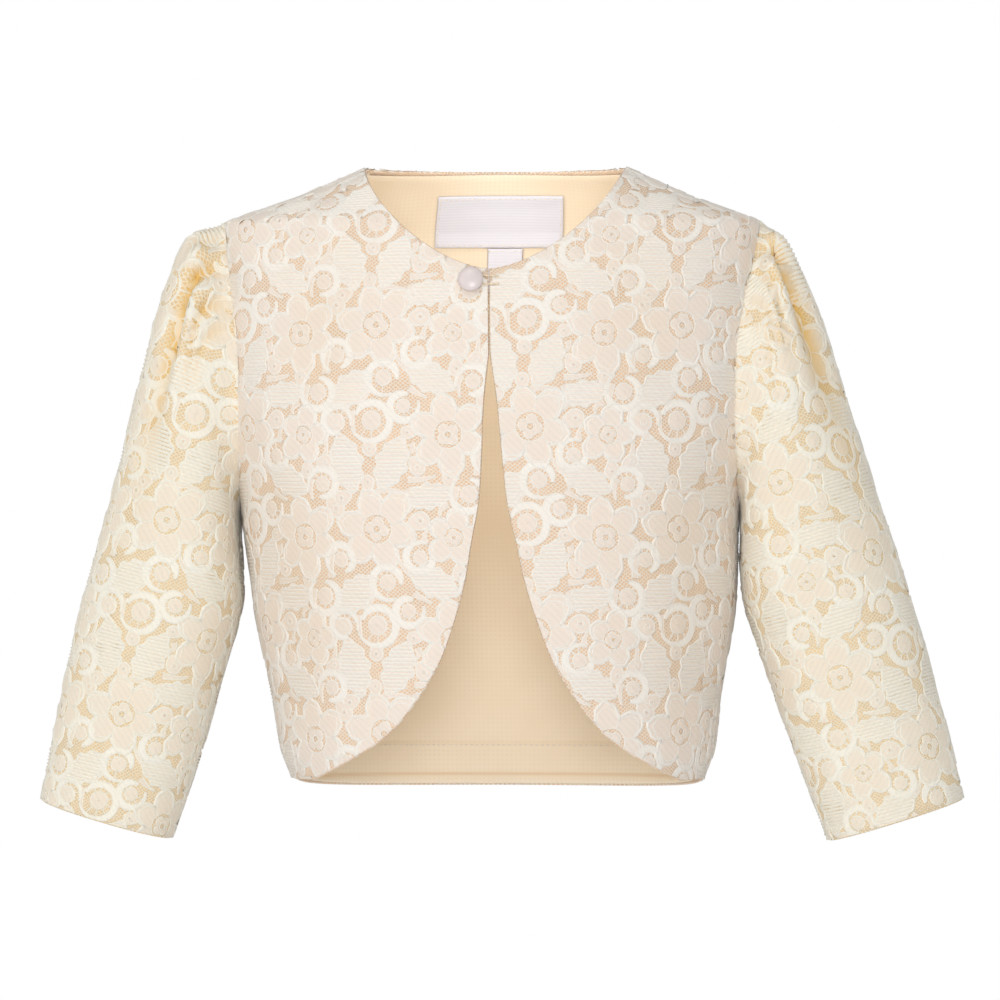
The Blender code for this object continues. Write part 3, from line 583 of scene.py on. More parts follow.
def front_grid(side, inset):
    """The wearer's left or right front as a grid of (across, drop) from its front edge out."""
    out = 1 if side == "left" else -1
    power_x, power_drop = NECK_CURVE_POWERS

    def edge(drop):
        gap = max(float(smooth(FRONT_EDGE, FRONT_EDGE_COLUMNS, "half_gap", drop)), 0.0)
        x = meeting_x(drop) + out * (gap + SEAM_GAP / 2 + inset)
        return out * FRONT.across_of_x(x, drop), drop

    def neck(x):
        share = min(abs(x) / NECK_HALF_WIDTH, 1.0)
        drop = FRONT_NECK_DROP * (1 - share**power_x) ** (1 / power_drop) + inset
        return out * FRONT.across_of_x(out * x, drop), drop

    hem_drop = FRONT_HEM_DROP - inset
    upright = [edge(d) for d in np.linspace(hem_drop, FRONT_NECK_DROP + inset, DRAWN["front edge"])]
    left = spaced(upright, PANEL_STEPS["lower"] + PANEL_STEPS["upper"], TOP_CROWDING)
    start_x = out * meeting_x(FRONT_NECK_DROP) + SEAM_GAP / 2 + inset
    reach = np.linspace(0, 1, DRAWN["front neckline"])
    xs = start_x + (NECK_HALF_WIDTH - start_x) * (1 - (1 - reach) ** NECKLINE_CROWDING)
    neckline = [left[-1], *[neck(x) for x in xs[1:-1]]]
    top = top_line(FRONT, neckline, SEAM_GAP / 2)
    right = side_line(FRONT, ARMHOLE_FRONT, SIDE_HEM_DROP - inset, SEAM_GAP / 2)
    right[-1] = top[-1]
    bottom = spaced([left[0], right[0]], len(top) - 1)
    # The hem's drop rises towards the side seam in a soft curve.
    share = np.linspace(0, 1, len(bottom))
    bottom[:, 1] = left[0, 1] + (right[0, 1] - left[0, 1]) * share**FRONT_HEM_POWER
    grid = patch(bottom, top, left, right)
    grid[..., 0] *= out
    return grid


def back_grid(inset):
    """The whole back as a grid of (across, drop), from the wearer's right to the left."""
    edge = float(BACK.side_across(0.0))
    shares = np.linspace(0, 1, DRAWN["back neckline"], endpoint=False)
    neckline = [(edge * s, inset - BACK_NECK_RISE * (1 - s * s)) for s in shares]
    top = top_line(BACK, neckline, SEAM_GAP / 2)
    right = side_line(BACK, ARMHOLE_BACK, SIDE_HEM_DROP - inset, SEAM_GAP / 2)
    right[-1] = top[-1]
    centre = [(0.0, d) for d in np.linspace(BACK_HEM_DROP - inset, UNDERARM_DROP, DRAWN["back centre"])]
    above = [(0.0, d) for d in np.linspace(UNDERARM_DROP, top[0, 1], DRAWN["back centre"])]
    left = np.concatenate(
        [spaced(centre, PANEL_STEPS["lower"]), spaced(above, PANEL_STEPS["upper"], TOP_CROWDING)[1:]]
    )
    bottom = spaced([left[0], right[0]], len(top) - 1)
    dip = BACK_HEM_DROP - SIDE_HEM_DROP
    share = np.linspace(0, 1, len(bottom))
    bottom[:, 1] = SIDE_HEM_DROP - inset + dip * (1 - share**BACK_HEM_POWER)
    half = patch(bottom, top, left, right)
    mirrored = half[:, :0:-1].copy()
    mirrored[..., 0] *= -1
    return np.concatenate([mirrored, half], axis=1)


def armhole_ring(side, shares):
    """Points round an armhole, share 0 at the shoulder tip, 1 at the underarm, + to the front."""
    out = 1 if side == "left" else -1
    turns = (1 - np.cos(np.linspace(0, math.pi, DRAWN["armhole ring"]))) / 2
    points = np.zeros((len(shares), 3))
    for panel, shape, branch in ((FRONT, ARMHOLE_FRONT, shares >= 0), (BACK, ARMHOLE_BACK, shares < 0)):
        line = np.array([armhole_across(panel, shape, t) for t in turns])
        line[:, 0] = np.minimum(line[:, 0], panel.side_across(line[:, 1]) - SEAM_GAP / 2)
        across = out * line[:, 0]
        curve = panel.at(across, line[:, 1])
        along = lengths(curve)
        normal = panel.normal(across, line[:, 1])
        outward = np.cross(np.gradient(curve, along, axis=0), normal)
        flip = np.sign(((curve.mean(0) - curve) * outward).sum(1, keepdims=True))
        outward = units(outward * np.where(flip == 0, 1, flip))
        at = np.abs(shares[branch]) * along[-1]
        points[branch] = points_at(at, along, curve + SEAM_GAP * (normal + outward))
    return points


def sleeve_ring(row, shares, out):
    """Points round a sleeve at one section, spaced equally along its rim."""
    outer_x, outer_drop, inner_x, inner_drop, half_depth, middle_y = row
    outer = np.array([out * outer_x, middle_y, NECK_POINT_Z - outer_drop])
    inner = np.array([out * inner_x, middle_y, NECK_POINT_Z - inner_drop])
    middle = (outer + inner) / 2
    angle = np.linspace(0, math.pi, DRAWN["half sleeve ring"])
    power = 2 / SLEEVE_SQUARENESS
    cos = np.sign(np.cos(angle)) * np.abs(np.cos(angle)) ** power
    sin = np.abs(np.sin(angle)) ** power
    half = middle + cos[:, None] * (outer - inner) / 2 - sin[:, None] * np.array([0, half_depth, 0])
    along = lengths(half)
    ring = points_at(np.abs(shares) * along[-1], along, half)
    ring[:, 1] = middle_y + (ring[:, 1] - middle_y) * np.where(shares >= 0, 1, -1)
    return ring


def gather_drift(side, shares):
    """How far the cloth's threads move round the sleeve as they run down, as a share."""
    places = [DRIFT_START, *[g[0] for g in GATHERS[side]], *DRIFT_ENDS]
    drifts = [0.0, *[g[1] for g in GATHERS[side]], 0.0, 0.0]
    return smooth(list(zip(places, drifts)), ("place", "drift"), "drift", shares)


def gather_height(side, share, distance, half_rim):
    """How far the gathers move the sleeve's cloth out, at a distance down from the seam."""
    height = np.zeros(np.broadcast(share, distance).shape)
    onset = 1 - np.exp(-((distance / GATHER_ONSET) ** GATHER_ONSET_POWER))
    width = GATHER_WIDTH_AT_SEAM + GATHER_WIDENING * distance
    for place, _, depth, length in GATHERS[side]:
        fade = np.exp(-((distance / length) ** 2))
        far = (share - place) * half_rim / width
        height -= depth * onset * fade * np.exp(-far * far)
    first, last = GATHERS[side][0][0], GATHERS[side][-1][0]
    beyond = np.abs(share - (first + last) / 2) - (last - first) / 2
    inside = 1 / (1 + np.exp(beyond / GATHER_ENDS))
    return height + GATHER_PUFF * inside * onset * np.exp(-((distance / GATHER_PUFF_LENGTH) ** 2))


def ring_normals(grid, out):
    """Outward normals of a sleeve's rings, which go from the back over the top to the front."""
    round_it = np.roll(grid, -1, axis=1) - np.roll(grid, 1, axis=1)
    down = np.gradient(grid, axis=0)
    return units(np.cross(round_it, down) * out)


class Sleeve:
    """A sleeve's outer surface: rings from the armhole down, each from the underarm over the top."""

    def __init__(self, side):
        out = 1 if side == "left" else -1
        fine = np.linspace(-1, 1, RING_POINTS)
        rings = [armhole_ring(side, fine)]
        rings += [sleeve_ring(row, fine, out) for row in SLEEVE_SECTIONS[side]]
        rings = np.array(rings)
        steps = np.linalg.norm(np.diff(rings, axis=0), axis=2)
        along = np.concatenate([np.zeros((1, len(fine))), np.cumsum(steps, axis=0)])
        top = len(fine) // 2
        outer_length = along[-1, top]
        # The rows crowd towards the armhole, where the gathers are sharpest.
        distance = outer_length * np.linspace(0, 1, SLEEVE_STEPS_DOWN + 1) ** SLEEVE_CROWDING
        rows = distance / outer_length
        knots = along[:, top] / outer_length
        dense = np.zeros((len(rows), len(fine), 3))
        for j in range(len(fine)):
            for k in range(3):
                table = list(zip(knots, rings[:, j, k]))
                dense[:, j, k] = smooth(table, ("knot", "value"), "value", rows)
        shares = np.linspace(-1, 1, SLEEVE_STEPS_ROUND, endpoint=False)
        drift = gather_drift(side, shares)
        moved = shares + drift * (1 - np.exp(-distance[:, None] / DRIFT_LENGTH))
        moved = (moved + 1) % 2 - 1
        plain = np.array([points_at(at, fine, row) for at, row in zip(moved, dense)])
        around = np.linalg.norm(np.roll(plain, -1, axis=1) - plain, axis=2)
        half_rim = around.sum(1)[:, None] / 2
        height = gather_height(side, shares[None, :], distance[:, None], half_rim)
        # Painted shade in the troughs of the gathers.
        self.painted_shade = np.clip(-height / DEEP_GATHER, 0, 1) ** FOLD_SHARPNESS
        height += RIDGE_HEIGHT * np.exp(-(((distance[:, None] - RIDGE_PLACE) / RIDGE_WIDTH) ** 2))
        self.points = plain + ring_normals(plain, out) * height[..., None]
        self.normals = ring_normals(self.points, out)
        # The seam's allowance rolls the first threads up and over the body's edge.
        rolled = np.exp(-((distance / SEAM_ROLL_WIDTH) ** 2))[:, None, None]
        away = units(plain[1] - plain[0])
        self.points += rolled * (self.normals[0] * SEAM_ROLL[0] - away * SEAM_ROLL[1])
        self.unroll(plain)

    def unroll(self, plain):
        """Flat coordinates of the mesh, slit along the underarm and rolled out by the unwrap tool."""
        opened = np.concatenate([plain, plain[:, :1]], axis=1)
        rows, columns = opened.shape[:2]
        quads = grid_quads(np.arange(rows * columns).reshape(rows, columns))
        mesh = quad_mesh("sleeve pattern", opened.reshape(-1, 3), quads, np.zeros((quads.size, 2)))
        made = bpy.data.objects.new("sleeve pattern", mesh)
        bpy.context.scene.collection.objects.link(made)
        bpy.context.view_layer.objects.active = made
        made.select_set(True)
        bpy.ops.object.mode_set(mode="EDIT")
        bpy.ops.mesh.select_all(action="SELECT")
        bpy.ops.uv.unwrap(method="CONFORMAL", margin=0.0)
        bpy.ops.object.mode_set(mode="OBJECT")
        found = np.zeros(quads.size * 2, np.float32)
        mesh.uv_layers["flat"].uv.foreach_get("vector", found)
        bpy.data.objects.remove(made)
        bpy.data.meshes.remove(mesh)
        flat = np.zeros((rows * columns, 2))
        flat[quads.ravel()] = found.reshape(-1, 2)
        flat = flat.reshape(rows, columns, 2)
        middle = columns // 2
        upward = flat[0, middle] - flat[-1, middle]
        upward /= np.linalg.norm(upward)
        flat = flat - flat[-1, middle]
        flat = np.stack([flat @ (upward[1], -upward[0]), flat @ upward], axis=-1)
        if flat[rows // 2, middle + 4, 0] < flat[rows // 2, middle - 4, 0]:
            flat[..., 0] *= -1
        real = np.cross(np.diff(opened, axis=0)[:, :-1], np.diff(opened, axis=1)[:-1])
        drawn = np.cross(np.diff(flat, axis=0)[:, :-1], np.diff(flat, axis=1)[:-1])
        self.flat = flat * math.sqrt(np.linalg.norm(real, axis=-1).sum() / np.abs(drawn).sum())
        self.corners = np.concatenate([quads[:, (0, 1, 2)], quads[:, (0, 2, 3)]])
        spots = [(x, y, 0.0) for x, y in self.flat.reshape(-1, 2)]
        self.pattern = BVHTree.FromPolygons(spots, self.corners.tolist())

    def lay(self, flat):
        """Points, outward directions and painted shade of the cloth at some flat coordinates."""
        found = self.corners[[self.pattern.find_nearest((x, y, 0.0))[2] for x, y in flat]]
        a, b, c = [self.flat.reshape(-1, 2)[found[:, k]] for k in range(3)]
        way, far, near = b - a, c - a, flat - a
        size = way[:, 0] * far[:, 1] - way[:, 1] * far[:, 0]
        second = (near[:, 0] * far[:, 1] - near[:, 1] * far[:, 0]) / size
        third = (way[:, 0] * near[:, 1] - way[:, 1] * near[:, 0]) / size
        shares = np.clip(np.stack([1 - second - third, second, third], axis=1), 0, 1)
        shares /= shares.sum(1, keepdims=True)
        row, column = [(shares * part).sum(1) for part in np.divmod(found, self.flat.shape[1])]
        tables = (self.points, self.normals, self.painted_shade)
        joined = [np.concatenate([t, t[:, :1]], axis=1) for t in tables]
        points, normals, painted_shade = [between(t, row, column) for t in joined]
        return points, units(normals), painted_shade


# One repeat of the lace, charted in millimetres. The next column of repeats is half a
# repeat lower, as on a woven net.
CORD_STEP = 0.0016
CORD_HEIGHT = 0.55
CORD_SINK = 0.00003
LADDER_FOOT = 0.0014
LADDER_TOP = 0.0008
LADDER_SHORTEST = 0.0012
LADDER_FILL = 0.74
QUARTER_TURN = np.array([[0.0, 1.0], [-1.0, 0.0]])
FLOWERS = (  # x, y, radius, petals, angle
    (20, 26, 20.5, 6, 0.3),
    (56, 72, 19.5, 6, 1.2),
    (58, 22, 14.0, 5, 0.7),
)
LEAVES = (  # x, y, length, width, angle in degrees
    (5, 58, 30, 16, 104),
    (28, 58, 29, 15, 66),
    (7, 94, 28, 15, 38),
    (46, 42, 25, 12, 8),
    (47, 100, 27, 14, 155),
)
CURLS = (  # x, y, radius, angle, sweep, hand
    (18, 79, 9.8, 200, 5.6, 1),
    (34, 86, 7.2, 20, 5.5, -1),
    (24, 100, 8.2, 300, 5.4, -1),
    (66, 43, 8.6, 120, 5.7, 1),
    (68, 98, 7.6, 200, 5.4, -1),
    (41, 12, 7.2, 60, 5.5, 1),
    (0, 79, 7.2, 340, 5.5, 1),
    (76, 61, 7.6, 250, 5.6, -1),
)
BUDS = (  # x, y, radius, angle
    (42, 30, 4.4, 200),
    (76, 28, 4.2, 160),
    (60, 4, 3.6, 90),
    (16, 49, 3.2, 270),
    (17, 65, 3.4, 90),
    (75, 86, 4.4, 130),
    (36, 73, 3.0, 0),
    (41, 56, 3.8, 120),
    (2, 41, 3.6, 20),
    (70, 9, 3.4, 200),
    (56, 51, 3.0, 270),
)
STEMS = (  # start, middle, end
    ((36, 34), (41, 38), (36, 46)),
    ((60, 34), (58, 38), (60, 47)),
    ((46, 90), (40, 92), (37, 95)),
    ((62, 90), (60, 96), (62, 101)),
    ((12, 88), (16, 90), (17, 97)),
    ((74, 68), (70, 62), (70, 52)),
    ((30, 12), (32, 6), (36, 4)),
    ((46, 27), (42, 22), (44, 19)),
    ((24, 72), (28, 76), (28, 82)),
    ((10, 72), (8, 76), (8, 84)),
    ((70, 22), (72, 16), (68, 6)),
    ((50, 52), (46, 50), (36, 50)),
    ((34, 44), (26, 46), (20, 44)),
    ((36, 62), (40, 64), (38, 68)),
    ((52, 32), (50, 36), (56, 38)),
    ((4, 50), (8, 48), (10, 44)),
)


def turned(points, angle, at):
    c, s = math.cos(angle), math.sin(angle)
    return np.asarray(points, float) @ np.array([[c, s], [-s, c]]) + np.asarray(at, float)


def full_turn(count):
    return np.linspace(0, 2 * math.pi, count, endpoint=False)


def circle(count):
    """Points of a circle with a radius of one."""
    turns = full_turn(count)
    return np.stack([np.cos(turns), np.sin(turns)], axis=1)


def ring_closed(line):
    return np.vstack([line, line[:1]])


def strip(lines, heights):
    """A strip through lines of the same number of points, each at its height."""
    return np.array([np.column_stack([r, np.full(len(r), h)]) for r, h in zip(lines, heights)])


class LaceChart:
    """Cloth-work plates and cords of one repeat, as meshes over the flat cloth."""

    def __init__(self, lace):
        self.plates = []
        self.cords = []
        self.relief = lace.relief
        self.thick = lace.cord
        self.fine = lace.fine_cord
        self.ladder = lace.ladder

    def plate(self, lines, heights):
        """Cloth-work through some lines."""
        self.plates.append(strip(lines, heights))

    def cord(self, line, width, closed=False, lift=0.0):
        """A cord along a line. Its section is a ridge, low at both sides and high in the middle."""
        line = np.array(line, float)
        if closed:
            line = ring_closed(line)
        along = lengths(line)
        count = max(2, int(round(along[-1] / CORD_STEP)) + 1)
        line = points_at(np.linspace(0, along[-1], count), along, line)
        tangent = np.gradient(line, axis=0)
        if closed:
            tangent[0] = tangent[-1] = line[1] - line[-2]
        side = units(tangent) @ QUARTER_TURN * width / 2
        low = lift - CORD_SINK
        heights = (low, lift + width * CORD_HEIGHT, low)
        self.cords.append(strip([line + side, line, line - side], heights))

    def flower(self, at, radius, petals, angle):
        """A blossom of ruffled petals with double cords, round small inner petals and a ring."""
        turns, unit = full_turn(18 * petals), circle(18 * petals)
        peak = 1 - np.abs((petals * turns / math.pi / 2) % 1 * 2 - 1)
        lobe = 0.55 * np.abs(np.sin(petals * turns / 2)) ** 0.7 + 0.45 * peak**0.8
        uneven = 0.05 * np.sin(2 * turns + angle) + 0.04 * np.sin(3 * turns - 2 * angle)
        ruffle = 0.022 * np.sin(4 * petals * turns + angle)
        rim = radius * (0.58 + 0.44 * lobe + uneven + ruffle)
        foot = radius * 0.36
        rings = [unit * (foot + (rim - foot) * share)[:, None] for share in (0, 0.5, 0.78, 1)]
        rings = [turned(ring_closed(r), angle, at) for r in rings]
        low, high = self.relief * 0.4, self.relief
        self.plate(rings, (low, high, high * 0.9, low))
        self.cord(rings[-1][:-1], self.thick * 1.6, closed=True)
        self.cord(rings[-2][:-1], self.fine, closed=True, lift=self.relief * 0.6)
        self.cord(rings[0][:-1], self.fine, closed=True)
        for k in range(petals):
            way = 2 * math.pi * k / petals
            line = np.outer(np.linspace(0.37, 0.60, 5), (math.cos(way), math.sin(way))) * radius
            self.cord(turned(line, angle, at), self.fine, lift=self.relief * 0.5)
        inner = 0.17 + 0.12 * np.abs(np.sin(2 * (turns - 0.3))) ** 0.8
        rings = [unit[::2] * radius * 0.09, unit[::2] * radius * (inner[::2, None] * 0.5 + 0.045)]
        rings.append(unit[::2] * radius * inner[::2, None])
        rings = [turned(ring_closed(r), angle, at) for r in rings]
        self.plate(rings, (low, high * 1.3, low))
        self.cord(rings[-1][:-1], self.fine, closed=True)
        eye = turned(circle(12) * radius * 0.10, angle, at)
        self.cord(eye, self.fine, closed=True, lift=self.relief * 0.3)

    def leaf(self, at, length, width, angle, lobes=4):
        """A leaf with scalloped sides, filled with level ladder threads."""
        t = np.linspace(0, 1, 26)
        half = width / 2 * np.sin(math.pi * t) ** 0.75 * (1 + 0.15 * np.cos(2 * math.pi * lobes * t))
        half[0] = half[-1] = 0.0
        up = np.stack([(t - 0.5) * length, half], axis=1)
        down = np.stack([(t - 0.5) * length, -half], axis=1)
        middle = np.stack([(t - 0.5) * length, half * 0], axis=1)
        rings = [turned(line, angle, at) for line in (down, middle, up)]
        self.plate(rings, (self.relief * 0.25, self.relief * 0.4, self.relief * 0.25))
        line = turned(np.vstack([up, down[-2:0:-1]]), angle, at)
        self.cord(line, self.thick * 1.1, closed=True)
        y = line[:, 1]
        for level in np.arange(y.min() + LADDER_FOOT, y.max() - LADDER_TOP, self.ladder):
            hits = []
            for a, b in zip(line, np.roll(line, -1, axis=0)):
                if (a[1] - level) * (b[1] - level) < 0:
                    hits.append(a[0] + (b[0] - a[0]) * (level - a[1]) / (b[1] - a[1]))
            hits.sort()
            for x0, x1 in zip(hits[::2], hits[1::2]):
                if x1 - x0 > LADDER_SHORTEST:
                    rung = [(x0, level), (x1, level)]
                    self.cord(rung, self.ladder * LADDER_FILL, lift=self.relief * 0.2)

    def curl(self, at, radius, angle, sweep, hand):
        """A bright band that curls in round a plain disc, with comb threads between them."""
        t = np.linspace(0, 1, 28)
        way = sweep * t * hand
        middle = radius * (1.08 - 0.26 * t)
        wide = CURL_WIDTH * np.minimum(1, 0.12 + 2.6 * t) * np.minimum(1, 0.25 + 5 * (1 - t))
        unit = np.stack([np.cos(way), np.sin(way)], axis=1)
        outer, centre, inner = [
            turned(unit * (middle + wide * k)[:, None], angle, at) for k in (0.5, 0.0, -0.5)
        ]
        low, high = self.relief * 0.5, self.relief * 1.2
        # The band is as close and bright as the cords, so it goes with them.
        self.cords.append(strip([inner, centre, outer], (low, high, low)))
        self.cord(outer, self.thick * 1.1)
        self.cord(inner, self.fine)
        eye = turned(circle(16) * radius * CURL_EYE, angle, at)
        hub = eye * 0.05 + np.asarray(at) * 0.95
        self.plate([ring_closed(hub), ring_closed(eye)], (high, low))
        self.cord(eye, self.fine, closed=True)
        for k in range(3, 27, 3):
            foot = unit[k] * radius * (CURL_EYE + 0.03)
            tip = unit[k] * (middle[k] - wide[k] / 2)
            self.cord(turned([foot, tip], angle, at), self.fine * 0.8)

    def bud(self, at, radius, angle):
        """A drop-shaped bud with a small eye."""
        turns, unit = full_turn(18), circle(18)
        rim = radius * (1 + 0.55 * np.maximum(0, np.cos(turns)) ** 6)
        angle = math.radians(angle)
        rings = [turned(ring_closed(unit * (rim * s)[:, None]), angle, at) for s in (0.08, 0.6, 1.0)]
        self.plate(rings, (self.relief * 0.8, self.relief, self.relief * 0.45))
        self.cord(rings[-1][:-1], self.thick, closed=True)
        eye = turned(unit[::2] * radius * 0.42, angle, at)
        self.cord(eye, self.fine, closed=True, lift=self.relief * 0.7)

    def stem(self, start, middle, end):
        """A narrow curved band through three points, pointed at its start."""
        t = np.linspace(0, 1, 9)[:, None]
        line = (1 - t) ** 2 * np.array(start) + 2 * t * (1 - t) * np.array(middle) + t * t * np.array(end)
        tangent = units(np.gradient(line, axis=0))
        side = tangent @ QUARTER_TURN * STEM_WIDTH / 2 * (0.15 + 0.85 * t)
        low, high = self.relief * 0.4, self.relief * 0.8
        self.plate([line - side, line, line + side], (low, high, low))
        self.cord(line - side, self.fine)
        self.cord(line + side, self.fine)

    def strips(self, kind):
        """All the points and quads of one kind of strip."""
        points, quads, start = [], [], 0
        for strip in getattr(self, kind):
            lines, count = strip.shape[:2]
            quads.append(grid_quads(start + np.arange(lines * count).reshape(lines, count)))
            points.append(strip.reshape(-1, 3))
            start += lines * count
        return np.concatenate(points), np.concatenate(quads)


def charted_lace(lace):
    chart = LaceChart(lace)
    for x, y, radius, petals, angle in FLOWERS:
        chart.flower((x * MM, y * MM), radius * MM, petals, angle)
    for x, y, length, width, angle in LEAVES:
        chart.leaf((x * MM, y * MM), length * MM, width * MM, math.radians(angle))
    for x, y, radius, angle, sweep, hand in CURLS:
        chart.curl((x * MM, y * MM), radius * MM, math.radians(angle), sweep, hand)
    for x, y, radius, angle in BUDS:
        chart.bud((x * MM, y * MM), radius * MM, angle)
    for line in STEMS:
        chart.stem(*[(x * MM, y * MM) for x, y in line])
    return chart


def quad_mesh(name, points, quads, flat=None, painted_shade=None):
    """A mesh of quads, with the flat coordinates of each quad's corners and each point's painted shade."""
    mesh = bpy.data.meshes.new(name)
    mesh.vertices.add(len(points))
    mesh.vertices.foreach_set("co", np.ascontiguousarray(points, np.float32).ravel())
    mesh.loops.add(quads.size)
    mesh.loops.foreach_set("vertex_index", np.ascontiguousarray(quads, np.int32).ravel())
    mesh.polygons.add(len(quads))
    mesh.polygons.foreach_set("loop_start", np.arange(0, quads.size, 4, dtype=np.int32))
    mesh.update(calc_edges=True)
    if flat is not None:
        layer = mesh.uv_layers.new(name="flat")
        layer.uv.foreach_set("vector", np.ascontiguousarray(flat, np.float32).ravel())
    # Painted shade is kept as the "fold" attribute, which the lace and lining materials read.
    if painted_shade is not None:
        layer = mesh.attributes.new("fold", "FLOAT", "POINT")
        layer.data.foreach_set("value", np.ascontiguousarray(painted_shade, np.float32).ravel())
    mesh.validate()
    mesh.shade_smooth()
    return mesh


def placed(name, mesh, finish):
    """A mesh as an object of the scene, in one material."""
    made = bpy.data.objects.new(name, mesh)
    bpy.context.scene.collection.objects.link(made)
    mesh.materials.clear()
    mesh.materials.append(finish)
    return made


def plain_copy(made):
    """The object's evaluated mesh as plain data. The object and its modifiers are removed."""
    seen = made.evaluated_get(bpy.context.evaluated_depsgraph_get())
    mesh = bpy.data.meshes.new_from_object(seen)
    bpy.data.objects.remove(made)
    return mesh


def add(tree, kind, inputs=None, **settings):
    """Adds a node. An input is a value for its socket, or another node's socket to link."""
    node = tree.nodes.new(kind)
    for name, value in settings.items():
        setattr(node, name, value)
    for name, value in (inputs or {}).items():
        socket = node.inputs[name]
        if isinstance(value, bpy.types.NodeSocket):
            tree.links.new(value, socket)
        else:
            socket.default_value = value
    return node


def grown(made, tree, inputs):
    """The mesh that a Geometry Nodes tree makes of an object, with the tree's inputs by their names."""
    modifier = made.modifiers.new(tree.name, "NODES")
    modifier.node_group = tree
    sockets = [i for i in tree.interface.items_tree if i.item_type == "SOCKET" and i.in_out == "INPUT"]
    identifiers = {item.name: item.identifier for item in sockets}
    for name, value in inputs.items():
        modifier[identifiers[name]] = value
    return plain_copy(made)


def new_tree(name, sizes):
    """A Geometry Nodes tree with a geometry input, named sizes and a material."""
    tree = bpy.data.node_groups.new(name, "GeometryNodeTree")
    tree.interface.new_socket("Geometry", in_out="INPUT", socket_type="NodeSocketGeometry")
    for label, kind, value in sizes:
        tree.interface.new_socket(label, in_out="INPUT", socket_type=kind).default_value = value
    tree.interface.new_socket("Finish", in_out="INPUT", socket_type="NodeSocketMaterial")
    tree.interface.new_socket("Geometry", in_out="OUTPUT", socket_type="NodeSocketGeometry")
    return tree, add(tree, "NodeGroupInput")


def end_tree(tree, source, instances):
    """Makes the instances real and gives them the tree's material."""
    real = add(tree, "GeometryNodeRealizeInstances", {"Geometry": instances})
    given = {"Geometry": real.outputs[0], "Material": source.outputs["Finish"]}
    painted = add(tree, "GeometryNodeSetMaterial", given)
    add(tree, "NodeGroupOutput", {"Geometry": painted.outputs[0]})


def half_drop_tree():
    """Repeats its geometry over a field, each next column half a repeat lower."""
    sizes = (
        ("Repeat Width", "NodeSocketFloat", 0.076),
        ("Repeat Height", "NodeSocketFloat", 0.100),
        ("Columns", "NodeSocketInt", 3),
        ("Rows", "NodeSocketInt", 3),
    )
    tree, source = new_tree("half-drop lace repeat", sizes)

    def maths(operation, a, b):
        return add(tree, "ShaderNodeMath", {0: a, 1: b}, operation=operation).outputs[0]

    width, height = source.outputs["Repeat Width"], source.outputs["Repeat Height"]
    columns, rows = source.outputs["Columns"], source.outputs["Rows"]
    count = maths("MULTIPLY", columns, rows)
    line = add(tree, "GeometryNodeMeshLine", {"Count": count, "Offset": (0, 0, 0)})
    index = add(tree, "GeometryNodeInputIndex").outputs[0]
    column = maths("MODULO", index, columns)
    row = maths("FLOOR", maths("DIVIDE", index, columns), 0.0)
    odd = maths("MODULO", column, 2.0)
    x = maths("MULTIPLY", column, width)
    y = maths("MULTIPLY", maths("SUBTRACT", row, maths("MULTIPLY", odd, 0.5)), height)
    place = add(tree, "ShaderNodeCombineXYZ", {"X": x, "Y": y}).outputs[0]
    spots = add(tree, "GeometryNodeSetPosition", {"Geometry": line.outputs[0], "Position": place})
    given = {"Points": spots.outputs[0], "Instance": source.outputs["Geometry"]}
    end_tree(tree, source, add(tree, "GeometryNodeInstanceOnPoints", given).outputs[0])
    return tree


def lace_field(kind, lowest, highest, shift, finish):
    """Points and quads of the repeated lace over an area of the flat cloth."""
    lace = bpy.context.scene.bolero_lace
    repeat = np.array([lace.repeat_width, lace.repeat_height])
    points, quads = once("chart", charted_lace, lace).strips(kind)
    made = placed("lace repeat", quad_mesh("lace repeat", points, quads), finish)
    first = np.floor((lowest - shift) / repeat) - 1
    # An even first column keeps the half drop the same on all the pieces.
    first[0] -= first[0] % 2
    last = np.ceil((highest - shift) / repeat) + 1
    columns, rows = (last - first + 1).astype(int)
    inputs = {
        "Repeat Width": lace.repeat_width,
        "Repeat Height": lace.repeat_height,
        "Columns": int(columns),
        "Rows": int(rows),
        "Finish": finish,
    }
    mesh = grown(made, once("half drop tree", half_drop_tree), inputs)
    found = np.zeros(len(mesh.vertices) * 3, np.float32)
    mesh.vertices.foreach_get("co", found)
    corners = np.zeros(len(mesh.loops), np.int32)
    mesh.loops.foreach_get("vertex_index", corners)
    bpy.data.meshes.remove(mesh)
    points = found.reshape(-1, 3).astype(float)
    points[:, :2] += first * repeat + shift
    return points, corners.reshape(-1, 4)


def inside(outline, flat):
    """Whether each flat point lies inside an outline."""
    found = np.zeros(len(flat), bool)
    x, y = flat[:, 0], flat[:, 1]
    for (x0, y0), (x1, y1) in zip(outline, np.roll(outline, -1, axis=0)):
        if y0 == y1:
            continue
        crosses = (y0 > y) != (y1 > y)
        found ^= crosses & (x < (x1 - x0) * (y - y0) / (y1 - y0) + x0)
    return found


def nearest_on(outline, flat):
    """The nearest point of an outline to each flat point."""
    best = np.full(len(flat), np.inf)
    near = flat.copy()
    for start, end in zip(outline, np.roll(outline, -1, axis=0)):
        way = end - start
        size = way @ way
        if size == 0:
            continue
        t = np.clip((flat - start) @ way / size, 0, 1)
        spot = start + t[:, None] * way
        far = ((flat - spot) ** 2).sum(1)
        closer = far < best
        best[closer] = far[closer]
        near[closer] = spot[closer]
    return near


